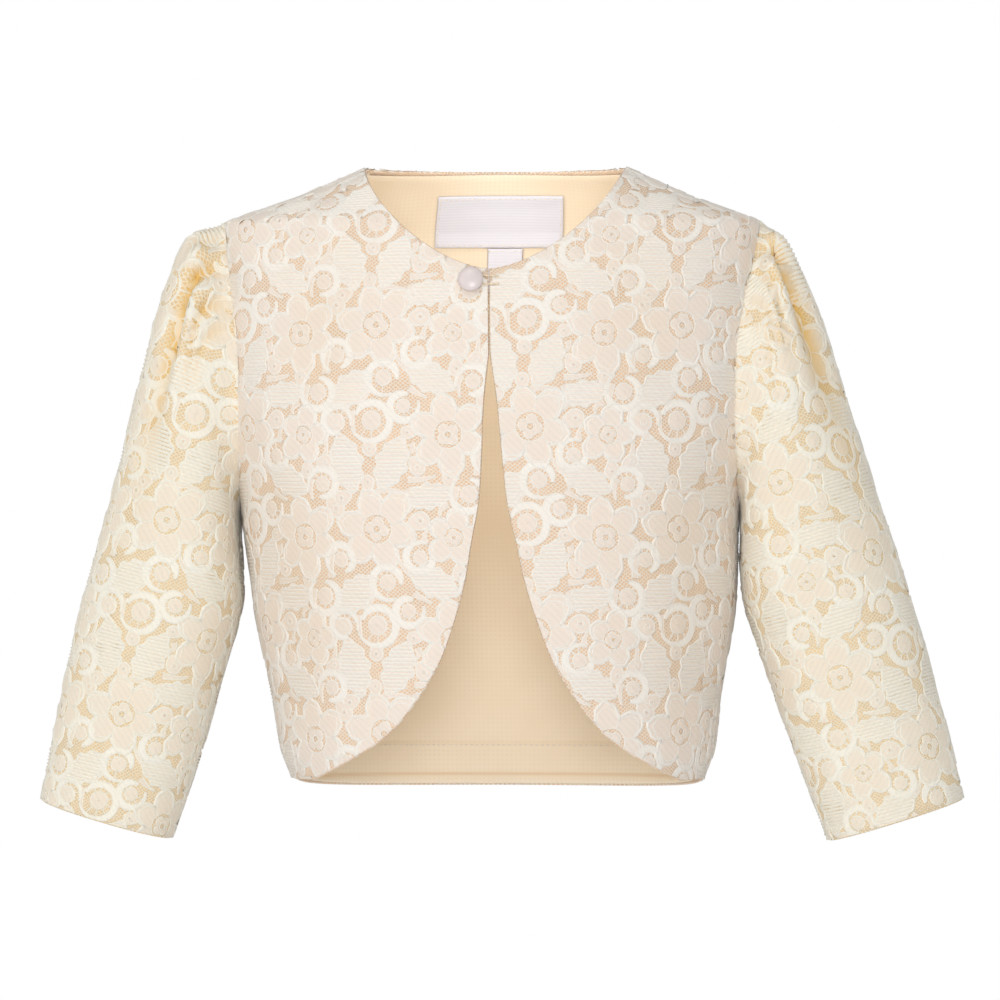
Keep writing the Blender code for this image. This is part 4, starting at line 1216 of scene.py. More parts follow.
def lay_lace(name, cloth, outline, kind, shift, finish):
    """The part of the repeated lace that falls on a piece, laid on its surface."""
    # The motifs end just inside the cut edge, which the net and the lining turn round.
    middle = (outline.min(0) + outline.max(0)) / 2
    outline = middle + (outline - middle) * EDGE_KEEP
    points, quads = lace_field(kind, outline.min(0), outline.max(0), np.array(shift), finish)
    flat = points[:, :2]
    kept = inside(outline, flat)
    quads = quads[kept[quads].any(axis=1)]
    used = np.unique(quads)
    number = np.zeros(len(points), int)
    number[used] = np.arange(len(used))
    quads = number[quads]
    points, kept = points[used], kept[used]
    flat = points[:, :2].copy()
    flat[~kept] = nearest_on(outline, flat[~kept])
    spots, out, painted_shade = cloth.lay(flat)
    laid = spots + out * (points[:, 2:] + LACE_LIFT)
    across = np.cross(laid[quads[:, 2]] - laid[quads[:, 0]], laid[quads[:, 3]] - laid[quads[:, 1]])
    if (across * out[quads[:, 0]]).sum() < 0:
        quads = quads[:, ::-1]
    return placed(name, quad_mesh(name, laid, quads, flat[quads.ravel()], painted_shade), finish)


def wall(name, outer, inner, flat, finish, painted_shade, closed=False):
    """A closed cloth wall between two grids of points, its rim rounded, with its flat coordinates."""
    rows, columns = outer.shape[:2]
    numbers = np.arange(rows * columns).reshape(rows, columns)
    if closed:
        # The flat grid has one more column than the mesh, where the sleeve's seam opens it.
        numbers = np.concatenate([numbers, numbers[:, :1]], axis=1)
    cells = np.arange(numbers.size).reshape(numbers.shape)
    quads, cell_quads = grid_quads(numbers), grid_quads(cells)
    shift = rows * columns
    if closed:
        rims, cell_rims = [(n[0, :], n[-1, ::-1]) for n in (numbers, cells)]
    else:
        rims, cell_rims = [[np.append(border(n), n[0, 0])] for n in (numbers, cells)]
    points = [outer.reshape(-1, 3).copy(), inner.reshape(-1, 3).copy()]
    all_painted_shade = [painted_shade.ravel(), painted_shade.ravel()]
    flat_points = flat.reshape(-1, 2)
    all_quads = [quads, quads[:, ::-1] + shift]
    all_flat = [flat_points[cell_quads.ravel()], flat_points[cell_quads[:, ::-1].ravel()]]
    start = 2 * shift
    for rim, cell_rim in zip(rims, cell_rims):
        i, j = np.divmod(rim, columns)
        near = (np.clip(i, 1, rows - 2), j if closed else np.clip(j, 1, columns - 2))
        edge = (points[0][rim] + points[1][rim]) / 2
        back_in = units(outer[near] - outer.reshape(-1, 3)[rim])
        thick = np.linalg.norm(points[0][rim] - points[1][rim], axis=1, keepdims=True)
        for side in points[:2]:
            side[rim] = side[rim] + back_in * thick * RIM_BACK + (edge - side[rim]) * RIM_CLOSE
        points.append(edge)
        all_painted_shade.append(painted_shade.ravel()[rim])
        ring = start + np.arange(len(rim))
        start += len(rim)
        a, b = rim[:-1], rim[1:]
        m, n = ring[:-1], ring[1:]
        all_quads += [np.stack([b, a, m, n], axis=1), np.stack([n, m, a + shift, b + shift], axis=1)]
        corner = flat_points[cell_rim]
        strip = np.stack([corner[1:], corner[:-1], corner[:-1], corner[1:]], axis=1).reshape(-1, 2)
        all_flat += [strip, strip]
    mesh = quad_mesh(name, *[np.concatenate(v) for v in (points, all_quads, all_flat, all_painted_shade)])
    tidied(mesh)
    return placed(name, mesh, finish)


def border(grid):
    """The rim of a grid of points, in order."""
    return np.concatenate([grid[0, :], grid[1:, -1], grid[-1, -2::-1], grid[-2:0:-1, 0]])


def declare(piece, node, extras):
    """Attaches a cloth piece and its extras to the root, and hides the solid that it stands for."""
    for one in (piece, *extras):
        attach(one, "root")
    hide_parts(node)


def panel_piece(name, panel, grid, depth, thick, finish, lift=None):
    """A cloth wall over a grid. "lift" says how much thicker the wall is on its inner side."""
    across, drop = grid[..., 0], grid[..., 1]
    more = 0.0 if lift is None else lift(across, drop)
    outer = panel.at(across, drop, depth)
    inner = panel.at(across, drop, depth + thick + more)
    flat = panel.flat(across, drop)
    painted_shade = panel.painted_shade(across, drop)
    if lift is not None:
        # A line of painted shade along the row of sewing above the hem.
        below = (drop - SEWN_SHADE_DROP) / SEWN_SHADE_WIDTH
        painted_shade = np.clip(painted_shade + SEWN_SHADE * np.exp(-(below**2)), 0, 1)
    return wall(name, outer, inner, flat, finish, painted_shade), border(flat)


def finer(grid):
    """The grid with closer columns, and with much closer rows in the hem."""
    rows, columns = grid.shape[:2]
    hem = np.linspace(0, HEM_ROWS, HEM_FINE_ROWS)
    row = np.concatenate([hem, np.arange(HEM_ROWS + 1, rows)])
    column = np.linspace(0, columns - 1, 2 * columns - 1)
    row, column = np.meshgrid(row, column, indexing="ij")
    return between(grid, row, column)


def hem_lift(across, drop):
    """How far the turned-up hem stands out from the lining, with small upright puckers."""
    lining = bpy.context.scene.bolero_lining
    top = HEM_BAND_LOW - lining.hem_band
    into, out = [1 / (1 + np.exp(-np.clip((drop - d) / HEM_STEP, -40, 40))) for d in (top, HEM_BAND_LOW)]
    band = into - out
    uneven = PUCKER_UNEVENNESS * np.sin(2 * math.pi * across / PUCKER_DRIFT)
    wave = np.sin(2 * math.pi * across / PUCKER_SPACING + uneven)
    pucker = PUCKER_HEIGHT * (1 + wave) * np.exp(-(((drop - top) / PUCKER_LENGTH) ** 2))
    return lining.hem_relief * (band + pucker * into + HEM_FOOT * out)


def principled(name, build, settings):
    """A material. "build" adds its nodes and gives its colour, and a bump's height, depth and strength."""
    made = bpy.data.materials.new(name)
    made.use_nodes = True
    tree = made.node_tree
    tree.nodes.clear()
    colour, relief = build(tree)
    given = {"Metallic": 0.0, "Base Color": colour, **settings}
    if relief is not None:
        values = dict(zip(("Height", "Distance", "Strength"), relief))
        given["Normal"] = add(tree, "ShaderNodeBump", values).outputs[0]
    surface = add(tree, "ShaderNodeBsdfPrincipled", given)
    add(tree, "ShaderNodeOutputMaterial", {"Surface": surface.outputs[0]})
    return made


# How far apart the bands of a wave texture with a scale of one lie in a plane
BAND_SPACING = {"X": math.pi / 10, "Y": math.pi / 10, "DIAGONAL": math.pi / 5 / math.sqrt(2)}

# The net's meshes, and how they are narrowed and turned
NET_MESH = 0.0017
NET_NARROWING = 1.30
NET_TURN = 0.75


def flat_map(tree):
    return add(tree, "ShaderNodeUVMap", uv_map="flat").outputs[0]


def object_map(tree):
    return add(tree, "ShaderNodeTexCoord").outputs["Object"]


def ramp(tree, value, low, high):
    """Turns a value between two limits into 0 to 1."""
    given = {"Value": value, "From Min": low, "From Max": high}
    return add(tree, "ShaderNodeMapRange", given).outputs[0]


def mixed(tree, factor, first, second):
    """A colour between two colours. Each is linear values or a socket."""
    node = add(tree, "ShaderNodeMix", {"Factor": factor}, data_type="RGBA")
    for socket, colour in ((node.inputs[6], first), (node.inputs[7], second)):
        if isinstance(colour, bpy.types.NodeSocket):
            tree.links.new(colour, socket)
        else:
            socket.default_value = (*colour, 1)
    return node.outputs[2]


def shaded(colour, share):
    """A colour times a share, or times one share for each of its three parts."""
    return tuple(float(v) for v in np.array(colour) * share)


def waves(tree, where, size, distortion, detail, direction):
    """Bands of a size in metres across the flat cloth, as 0 to 1."""
    scale = BAND_SPACING[direction] / size
    given = {"Vector": where, "Scale": scale, "Distortion": distortion, "Detail": detail}
    return add(tree, "ShaderNodeTexWave", given, bands_direction=direction).outputs[1]


def clouds(tree, where, size, low=0.3, high=0.7, detail=2.0):
    """Soft uneven patches of a size in metres, as 0 to 1."""
    given = {"Vector": where, "Scale": 1 / size, "Detail": detail, "Roughness": 0.5}
    noise = add(tree, "ShaderNodeTexNoise", given)
    return ramp(tree, noise.outputs[0], low, high)


def with_painted_shade(tree, colour, shade_colour):
    """Painted shade: the colour, turned to a warmer and deeper one by the mesh's "fold" attribute."""
    fold = add(tree, "ShaderNodeAttribute", attribute_name="fold").outputs["Fac"]
    return mixed(tree, fold, colour, shade_colour)


def net_material(name, thread, hole, shade_colour):
    # Machine-made cotton net over a lining. The real meshes are about 1.2 mm. They are drawn at 1.7 by
    # 1.3 mm and aslant, so that they show. The thread catches the light, the lining shows in each hole.
    def build(tree):
        where = flat_map(tree)
        given = {"Vector": where, "Rotation": (0, 0, NET_TURN), "Scale": (1, NET_NARROWING, 1)}
        aslant = add(tree, "ShaderNodeMapping", given).outputs[0]
        given = {"Vector": aslant, "Scale": 1 / NET_MESH, "Randomness": 0.4}
        kind = {"feature": "DISTANCE_TO_EDGE", "voronoi_dimensions": "2D"}
        cells = add(tree, "ShaderNodeTexVoronoi", given, **kind)
        open_net = ramp(tree, cells.outputs["Distance"], 0.10, 0.26)
        deep = mixed(tree, clouds(tree, where, 0.02), hole, shaded(hole, 1.18))
        height = add(tree, "ShaderNodeMath", {0: 1.0, 1: open_net}, operation="SUBTRACT").outputs[0]
        # In a fold or by a seam the net is turned to its painted shade colour.
        return with_painted_shade(tree, mixed(tree, open_net, thread, deep), shade_colour), (height, 0.0003, 0.8)

    return principled(name, build, {"Roughness": 0.85})


def thread_material(name, colour, shade_colour, low, ripple_size):
    # Close-worked mercerised cotton: matt with a faint sheen. Its threads are 0.4 mm apart, too
    # fine to show, so the ripple is drawn at about 2.8 mm, and at 2.5 mm on the cords.
    def build(tree):
        where = flat_map(tree)
        cloth = mixed(tree, clouds(tree, where, 0.016), colour, shaded(colour, (1.02, 0.985, 0.95)))
        ripple = waves(tree, where, ripple_size, 1.8, 1.0, "DIAGONAL")
        fine = clouds(tree, where, 0.0009)
        shade = add(tree, "ShaderNodeMath", {0: ripple, 1: fine}, operation="MULTIPLY").outputs[0]
        seen = mixed(tree, shade, cloth, shaded(colour, low))
        # In a fold or by a seam the thread is turned to its painted shade colour.
        return with_painted_shade(tree, seen, shade_colour), (fine, 0.00015, 0.5)

    return principled(name, build, {"Roughness": 0.75, "Sheen Weight": 0.12, "Sheen Roughness": 0.5})


def lining_material(pale, deep):
    # Plain-woven cotton lining: threads under 0.3 mm, too fine to show, so the weave is drawn at
    # about 2.4 mm. It is matt. Painted shade turns it deeper and warmer in a fold and by a seam.
    def build(tree):
        where = flat_map(tree)
        colour = mixed(tree, clouds(tree, where, 0.03), pale, deep)
        weave = [waves(tree, where, 0.002375, 0.6, 1.0, direction) for direction in ("X", "Y")]
        both = add(tree, "ShaderNodeMath", {0: weave[0], 1: weave[1]}, operation="MULTIPLY").outputs[0]
        seen = mixed(tree, both, colour, shaded(deep, 0.985))
        return with_painted_shade(tree, seen, shaded(deep, (0.86, 0.76, 0.62))), (both, 0.0001, 0.08)

    return principled("lining, plain-woven cotton", build, {"Roughness": 0.8, "Sheen Weight": 0.1})


def tape_material(colour):
    # Polyester satin tape: its long floats give a soft gloss, its ribs are drawn at 1.6 mm.
    def build(tree):
        where = flat_map(tree)
        ribs = waves(tree, where, 0.0015834, 0.3, 0.0, "Y")
        cloth = mixed(tree, clouds(tree, where, 0.012), colour, shaded(colour, 0.96))
        return mixed(tree, ribs, cloth, shaded(colour, 0.93)), (ribs, 0.00005, 0.3)

    return principled("label tape, polyester satin", build, {"Roughness": 0.45, "Sheen Weight": 0.1})


def pearl_material(colour):
    # Moulded polyester button with a pearl finish: faint clouds under a clear glossy coat.
    def build(tree):
        layers = clouds(tree, object_map(tree), 0.004, detail=3.0)
        bright = tuple(min(v, 1.0) for v in shaded(colour, 1.05))
        return mixed(tree, layers, colour, bright), None

    settings = {"Roughness": 0.40, "IOR": 1.55, "Coat Weight": 0.4, "Coat Roughness": 0.22}
    return principled("button, pearl polyester", build, settings)


def twist_material(name, colour):
    # Two-ply cotton twist: ridges run slantwise round it about every 2 mm. The grooves between
    # them are painted darker: painted shade.
    def build(tree):
        ply = waves(tree, object_map(tree), 0.0019593, 0.4, 1.0, "DIAGONAL")
        return mixed(tree, ply, shaded(colour, 0.8), colour), (ply, 0.00012, 0.7)

    return principled(name, build, {"Roughness": 0.7})


def paper_material(colour):
    # Seamless background paper: matt, almost white, with a faint even grain.
    def build(tree):
        grain = clouds(tree, object_map(tree), 0.05, 0.2, 0.8)
        return mixed(tree, grain, colour, shaded(colour, 0.97)), None

    return principled("floor, white paper", build, {"Roughness": 0.9})


# What is made once and used by several operators
MADE = {}


def once(name, make, *given):
    if name not in MADE:
        MADE[name] = make(*given)
    return MADE[name]


def lace_finish(part, kind):
    """The net, the cloth-work or the cords of the body's or the sleeves' lace."""
    lace = bpy.context.scene.bolero_lace
    tint = {k: tuple(getattr(lace, part + "_" + k)) for k in ("net", "gap", "cloth", "cord", "fold")}
    label = {"body": "lace ", "sleeve": "sleeve lace "}[part]
    if kind == "net":
        given = (label + "ground, cotton net", tint["net"], tint["gap"], tint["fold"])
        return once(part + kind, net_material, *given)
    if kind == "plates":
        given = (label + "cloth-work, cotton", tint["cloth"], tint["fold"], 0.92, 0.002799)
        return once(part + kind, thread_material, *given)
    # The cords' painted shade colour lies halfway between their own colour and the fold tint.
    cord_shade = tuple(0.5 * (a + b) for a, b in zip(tint["cord"], tint["fold"]))
    given = (label + "cords, cotton", tint["cord"], cord_shade, 0.93, 0.0025191)
    return once(part + kind, thread_material, *given)


def laced(name, cloth, outline, part, shift):
    """The cloth-work and the cords on a piece, two meshes."""
    return [
        lay_lace("lace_" + name + "_motifs", cloth, outline, "plates", shift, lace_finish(part, "plates")),
        lay_lace("lace_" + name + "_cords", cloth, outline, "cords", shift, lace_finish(part, "cords")),
    ]


def lace_panel(name, panel, grid, shift):
    """A panel of the body: its net, and the lace on it."""
    net = lace_finish("body", "net")
    piece, outline = panel_piece("lace_" + name, panel, grid, 0.0, LACE_WALL, net)
    extras = laced(name, panel, outline, "body", shift)
    declare(piece, name, extras)


def make_fronts():
    for side in ("left", "right"):
        lace_panel("front_" + side, FRONT, front_grid(side, 0.0), BODY_SHIFT)


def make_back():
    lace_panel("back", BACK, back_grid(0.0), BACK_SHIFT)


def make_sleeves():
    for side in ("left", "right"):
        cloth = Sleeve(side)
        name = "sleeve_" + side
        inner = cloth.points - cloth.normals * LACE_WALL
        net = lace_finish("sleeve", "net")
        piece = wall("lace_" + name, cloth.points, inner, cloth.flat, net, cloth.painted_shade, closed=True)
        outline = border(cloth.flat)
        extras = laced(name, cloth, outline, "sleeve", SLEEVE_SHIFT[side])
        declare(piece, name, extras)


def make_linings():
    lining = bpy.context.scene.bolero_lining
    finish = once("lining", lining_material, tuple(lining.pale), tuple(lining.deep))
    depth = LACE_WALL + LAYER_GAP
    for side in ("left", "right"):
        name = "lining_front_" + side
        grid = front_grid(side, LINING_SETBACK)
        piece, outline = panel_piece("cotton_" + name, FRONT, grid, depth, LINING_WALL, finish)
        declare(piece, name, [])
    grid = finer(back_grid(LINING_SETBACK))
    piece, outline = panel_piece("cotton_lining_back", BACK, grid, depth, LINING_WALL, finish, hem_lift)
    drop = np.full(HEM_SEAM_POINTS, HEM_SEAM_DROP)
    edge = BACK.side_across(HEM_SEAM_DROP) - HEM_SEAM_INSET
    across = np.linspace(-edge, edge, len(drop))
    inner = depth + LINING_WALL
    path = BACK.at(across, drop, inner + hem_lift(across, drop) + STITCH_LIFT)
    seam = stitches("lining_hem_stitches", path)
    declare(piece, "lining_back", [seam])


def tape(name, node, across, width, top_drop, height):
    """A bare tape on the back lining, stitched round inside its edges."""
    u = np.linspace(across - width / 2, across + width / 2, TAPE_COLUMNS)
    v = np.linspace(top_drop + height, top_drop, TAPE_ROWS)
    grid = np.stack(np.meshgrid(u, v), axis=-1)
    depth = LACE_WALL + LAYER_GAP + LINING_WALL + LAYER_GAP
    finish = once("tape", tape_material, tuple(bpy.context.scene.bolero_trims.tape))
    piece, outline = panel_piece(name, BACK, grid, depth, LABEL_WALL, finish)
    left, right = u[0] + TAPE_SEAM_INSET, u[-1] - TAPE_SEAM_INSET
    top, low = top_drop + TAPE_SEAM_INSET, top_drop + height - TAPE_SEAM_INSET
    corners = [(left, top), (right, top), (right, low), (left, low), (left, top)]
    if node == "size_tab":
        corners = [(left, top), (right, top)]
    line = spaced(corners, TAPE_SEAM_STEPS)
    path = BACK.at(line[:, 0], line[:, 1], depth + LABEL_WALL + STITCH_LIFT)
    seam = stitches(name + "_stitches", path)
    declare(piece, node, [seam])


def make_tapes():
    tape("satin_label", "label", 0.0, LABEL_WIDTH, LABEL_TOP_DROP, LABEL_HEIGHT)
    below = LABEL_TOP_DROP + LABEL_HEIGHT + SEAM_GAP
    tape("satin_size_tab", "size_tab", TAB_ACROSS, TAB_WIDTH, below, TAB_HEIGHT)


def stitch_tree():
    """Lays a stitch at each step along a line of points."""
    sizes = (
        ("Pitch", "NodeSocketFloat", 0.0028),
        ("Length", "NodeSocketFloat", 0.0019),
        ("Thickness", "NodeSocketFloat", 0.0005),
    )
    tree, source = new_tree("row of stitches", sizes)
    curve = add(tree, "GeometryNodeMeshToCurve", {"Mesh": source.outputs["Geometry"]}).outputs[0]
    given = {"Curve": curve, "Length": source.outputs["Pitch"]}
    spots = add(tree, "GeometryNodeCurveToPoints", given, mode="LENGTH")
    bead = add(tree, "GeometryNodeMeshUVSphere", {"Segments": 6, "Rings": 5, "Radius": 0.5}).outputs[0]
    given = {"Vector": spots.outputs["Tangent"]}
    turn = add(tree, "FunctionNodeAlignRotationToVector", given, axis="X").outputs[0]
    thin = source.outputs["Thickness"]
    size = add(tree, "ShaderNodeCombineXYZ", {"X": source.outputs["Length"], "Y": thin, "Z": thin}).outputs[0]
    given = {"Points": spots.outputs["Points"], "Instance": bead, "Rotation": turn, "Scale": size}
    end_tree(tree, source, add(tree, "GeometryNodeInstanceOnPoints", given).outputs[0])
    return tree


def stitches(name, path):
    """A row of sewing stitches along a path on the cloth."""
    trims = bpy.context.scene.bolero_trims
    mesh = bpy.data.meshes.new(name)
    mesh.from_pydata([tuple(p) for p in path], [(k, k + 1) for k in range(len(path) - 1)], [])
    finish = once("sewing thread", twist_material, "sewing thread, cotton", tuple(trims.thread))
    made = placed(name, mesh, finish)
    inputs = {
        "Pitch": trims.stitch_pitch,
        "Length": trims.stitch_length,
        "Thickness": trims.stitch_thickness,
        "Finish": finish,
    }
    return placed(name, grown(made, once("stitch tree", stitch_tree), inputs), finish)


def button_frame():
    """Where the button's axis meets the cloth, and its three directions: out, across and down."""
    across = FRONT.across_of_x(BUTTON_X, BUTTON_DROP)
    at = np.array([across])
    drop = np.array([BUTTON_DROP])
    foot = Vector(FRONT.at(at, drop)[0])
    out = Vector(FRONT.normal(at, drop)[0])
    sideways = Vector((1, 0, 0))
    sideways = (sideways - out * sideways.dot(out)).normalized()
    down = out.cross(sideways)
    if down.z > 0:
        down = -down
    return foot, out, sideways, down


def make_button():
    """A domed button with a rounded rim, turned about its axis, on a shank."""
    foot, out, sideways, down = button_frame()
    head = SHANK_HEIGHT
    profile = [(0.0, SEAM_GAP), (SHANK_RADIUS, SEAM_GAP), (SHANK_RADIUS, head)]
    rim_height = (BUTTON_HEIGHT - head) * BUTTON_RIM_SHARE
    for step in range(BUTTON_RIM_STEPS + 1):
        angle = -math.pi / 2 + step / BUTTON_RIM_STEPS * math.pi / 2
        radius = BUTTON_RADIUS - rim_height * (1 - math.cos(angle))
        profile.append((radius, head + rim_height * (1 + math.sin(angle))))
    for step in range(1, BUTTON_DOME_STEPS + 1):
        angle = step / BUTTON_DOME_STEPS * math.pi / 2
        radius = BUTTON_RADIUS * math.cos(angle)
        height = head + rim_height + (BUTTON_HEIGHT - head - rim_height) * math.sin(angle)
        profile.append((max(radius, 0.0), height))
    rings = [ring(foot + out * height, radius, sideways, down, BUTTON_SIDES) for radius, height in profile]
    finish = once("pearl", pearl_material, tuple(bpy.context.scene.bolero_trims.pearl))
    piece = placed("pearl_button", tube_mesh("button", rings), finish)
    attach(piece, "root")
    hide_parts("button")


def ring(centre, radius, first, second, sides):
    """Points round a centre, in the plane of two directions."""
    unit = circle(sides)
    return np.array(centre) + radius * (unit[:, :1] * np.array(first) + unit[:, 1:] * np.array(second))


def tube_mesh(name, rings):
    """A closed solid through rings of the same number of points."""
    around = len(rings[0])
    number = np.arange(len(rings) * around).reshape(len(rings), around)
    number = np.concatenate([number, number[:, :1]], axis=1)
    mesh = quad_mesh(name, np.concatenate(rings), grid_quads(number))
    tidied(mesh)
    return mesh


def tidied(mesh):
    """Merges doubles, closes open ends and turns the faces outwards."""
    tidy = bmesh.new()
    tidy.from_mesh(mesh)
    bmesh.ops.remove_doubles(tidy, verts=tidy.verts, dist=0.000001)
    bmesh.ops.holes_fill(tidy, edges=[e for e in tidy.edges if e.is_boundary])
    bmesh.ops.recalc_face_normals(tidy, faces=tidy.faces)
    if tidy.calc_volume(signed=True) < 0:
        bmesh.ops.reverse_faces(tidy, faces=tidy.faces)
    tidy.to_mesh(mesh)
    tidy.free()


def make_loop():
    """A thread loop from the left front's edge, round the button's shank and back."""
    foot, out, sideways, down = button_frame()
    radius = SHANK_RADIUS + LOOP_THICKNESS / 2 + LOOP_CLEARANCE
    height = SEAM_GAP + LOOP_THICKNESS / 2 + 0.0002
    edge = meeting_x(BUTTON_DROP) - BUTTON_X
    route = [(edge + LOOP_ROOT, radius * 0.8)]
    route += [(edge + LOOP_ROOT * 0.5, radius * 0.85), (edge * 0.5, radius * 0.97)]
    for step in range(LOOP_TURN_STEPS + 1):
        angle = math.pi / 2 + step / LOOP_TURN_STEPS * math.pi
        route.append((radius * math.cos(angle), radius * math.sin(angle)))
    route += [(edge * 0.5, -radius * 0.97), (edge + LOOP_ROOT * 0.5, -radius * 0.85)]
    route.append((edge + LOOP_ROOT, -radius * 0.8))
    lifted = []
    for right, up in route:
        flat = foot + sideways * right - down * up
        drop = NECK_POINT_Z - flat.z
        at = np.array([FRONT.across_of_x(flat.x, drop)])
        below = np.array([drop])
        lifted.append(FRONT.at(at, below)[0] + FRONT.normal(at, below)[0] * height)
    lifted = np.array(lifted)
    along = lengths(lifted)
    route = points_at(np.linspace(0, along[-1], DRAWN["loop"]), along, lifted)
    tangent = units(np.gradient(route, axis=0))
    side = units(np.cross(tangent, np.array([0.0, -1.0, 0.0])))
    other = np.cross(tangent, side)
    rings = []
    for k in range(len(route)):
        size = LOOP_THICKNESS / 2 * (LOOP_END if k in (0, len(route) - 1) else 1.0)
        rings.append(ring(route[k], size, side[k], other[k], LOOP_SIDES))
    colour = tuple(bpy.context.scene.bolero_trims.loop)
    finish = once("twist", twist_material, "button loop, two-ply cotton", colour)
    piece = placed("thread_loop", tube_mesh("loop", rings), finish)
    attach(piece, "root")
    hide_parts("button_loop")


def make_stage():
    stage = bpy.context.scene.bolero_stage
    scene = bpy.context.scene
    azimuth = stage.azimuth
    back = Vector((math.sin(azimuth), -math.cos(azimuth), 0))
    right = Vector((math.cos(azimuth), math.sin(azimuth), 0))
    lens = bpy.data.cameras.new("camera")
    lens.lens = stage.lens
    lens.sensor_width = 36.0
    lens.clip_start = 0.1
    lens.clip_end = 50.0
    camera = bpy.data.objects.new("camera", lens)
    scene.collection.objects.link(camera)
    camera.location = Vector(VIEW_CENTRE) + back * stage.distance + right * VIEW_RIGHT
    camera.rotation_euler = (-back).to_track_quat("-Z", "Y").to_euler()
    scene.camera = camera
    scene.view_settings.view_transform = "Standard"
    world = bpy.data.worlds.new("studio")
    world.use_nodes = True
    tree = world.node_tree
    tree.nodes.clear()
    # The backdrop is seen pure white, and lights the cloth less than it shows.
    seen = add(tree, "ShaderNodeLightPath").outputs["Is Camera Ray"]
    given = {"Value": seen, "To Min": stage.backdrop_light, "To Max": 1.0}
    strength = add(tree, "ShaderNodeMapRange", given).outputs[0]
    sky = add(tree, "ShaderNodeBackground", {"Color": (1, 1, 1, 1), "Strength": strength})
    add(tree, "ShaderNodeOutputWorld", {"Surface": sky.outputs[0]})
    scene.world = world
    for name, setting, share, place, target, size, colour in LIGHTS:
        lamp = bpy.data.lights.new(name, "AREA")
        lamp.shape = "DISK"
        lamp.size = size
        lamp.energy = getattr(stage, setting) * share
        lamp.color = linear(colour)
        made = bpy.data.objects.new(name, lamp)
        scene.collection.objects.link(made)
        made.location = place
        made.visible_camera = False
        aim = Vector(target) - Vector(place)
        made.rotation_euler = aim.to_track_quat("-Z", "Y").to_euler()
    rim = [(x, y, FLOOR_Z) for x, y in circle(64) * FLOOR_RADIUS]
    mesh = bpy.data.meshes.new("floor")
    mesh.from_pydata(rim, [], [tuple(range(len(rim)))])
    placed("floor", mesh, paper_material(tuple(stage.floor)))


def length(name, says, default):
    return bpy.props.FloatProperty(
        name=name, description=says, default=default, min=0.0, precision=5, unit="LENGTH"
    )


def power(name, says, default):
    return bpy.props.FloatProperty(name=name, description=says, default=default, min=0.0, unit="POWER")


def tint(name, says, code):
    return bpy.props.FloatVectorProperty(
        name=name, description=says, default=linear(code), min=0.0, max=1.0, size=3, subtype="COLOR"
    )


class BoleroLace(bpy.types.PropertyGroup):
    """Sizes and colours of the lace."""

    repeat_width: length("Repeat width", "Width of one repeat of the lace", 0.076)
    repeat_height: length("Repeat height", "Height of one repeat of the lace", 0.100)
    cord: length("Cord", "Width of the cords round the motifs", 0.0011)
    fine_cord: length("Fine cord", "Width of the veins and inner cords", 0.0008)
    relief: length("Relief", "Height of the cloth-work over the net", 0.00042)
    ladder: length("Ladder", "Distance between the leaves' level threads", 0.0018)
    body_net: tint("Body net", "Net thread of the fronts and the back", "#f0e3d3")
    body_gap: tint("Body gaps", "Lining seen through the body's net", "#dfbb96")
    body_cloth: tint("Body cloth-work", "Filled parts of the body's motifs", "#ebe0d4")
    body_cord: tint("Body cords", "Raised cords of the body's motifs", "#f0ece4")
    # Painted shade: the colour that the body's lace is turned to deep in a fold or by a seam.
    body_fold: tint("Body folds", "The body's lace deep in a fold", "#dcc39c")
    sleeve_net: tint("Sleeve net", "Net thread of the sleeves", "#efe3c9")
    sleeve_gap: tint("Sleeve gaps", "What shows through the sleeves' net", "#e0c294")
    sleeve_cloth: tint("Sleeve cloth-work", "Filled parts of the sleeves' motifs", "#ebe1cf")
    sleeve_cord: tint("Sleeve cords", "Raised cords of the sleeves' motifs", "#f0ede0")
    # Painted shade: the colour that the sleeves' lace is turned to deep in a fold.
    sleeve_fold: tint("Sleeve folds", "The sleeves' lace deep in a fold", "#e4b964")


class BoleroLining(bpy.types.PropertyGroup):
    """Sizes and colours of the lining."""

    hem_band: length("Hem band", "Height of the turned-up band at the back's hem", 0.0155)
    hem_relief: length("Hem relief", "How far the turned-up band stands out", 0.00045)
    pale: tint("Pale", "The lining where it is palest", "#f6e8d0")
    deep: tint("Deep", "The lining where it is deepest", "#f3e2c8")


class BoleroTrims(bpy.types.PropertyGroup):
    """Sizes and colours of the label, the button, its loop and the stitches."""

    stitch_pitch: length("Stitch pitch", "Distance from one stitch to the next", 0.0028)
    stitch_length: length("Stitch length", "Length of one stitch", 0.0019)
    stitch_thickness: length("Stitch thickness", "Thickness of the sewing thread", 0.0005)
    tape: tint("Tape", "Satin tape of the label and the size tab", "#e3e4ef")
    thread: tint("Thread", "Sewing thread", "#eee4d8")
    pearl: tint("Pearl", "Button", "#d6cac8")
    loop: tint("Loop", "Thread loop of the button", "#efdcbf")


class BoleroStage(bpy.types.PropertyGroup):
    """The photograph's view and its light."""

    azimuth: bpy.props.FloatProperty(
        name="Azimuth", description="Turn of the view", default=math.radians(3.0), unit="ROTATION"
    )
    distance: length("Distance", "From the camera to the jacket", 2.5)
    lens: bpy.props.FloatProperty(
        name="Lens", description="Focal length", default=180.0, unit="CAMERA"
    )
    front_power: power("Front light", "Power of the soft light behind the camera", 24.0)
    key_power: power("Key light", "Power of the light from the left", 9.0)
    top_power: power("Top light", "Power of the light over the neck", 7.0)
    inside_power: power("Inside light", "Power of the soft light in the hollow of the body", 0.058)
    rim_power: power("Rim lights", "Power of each light beside the jacket", 5.6)
    backdrop_light: bpy.props.FloatProperty(
        name="Backdrop light", description="How strongly the backdrop lights the cloth", default=0.42, min=0.0
    )
    floor: tint("Floor", "Background paper", "#fdfdfd")


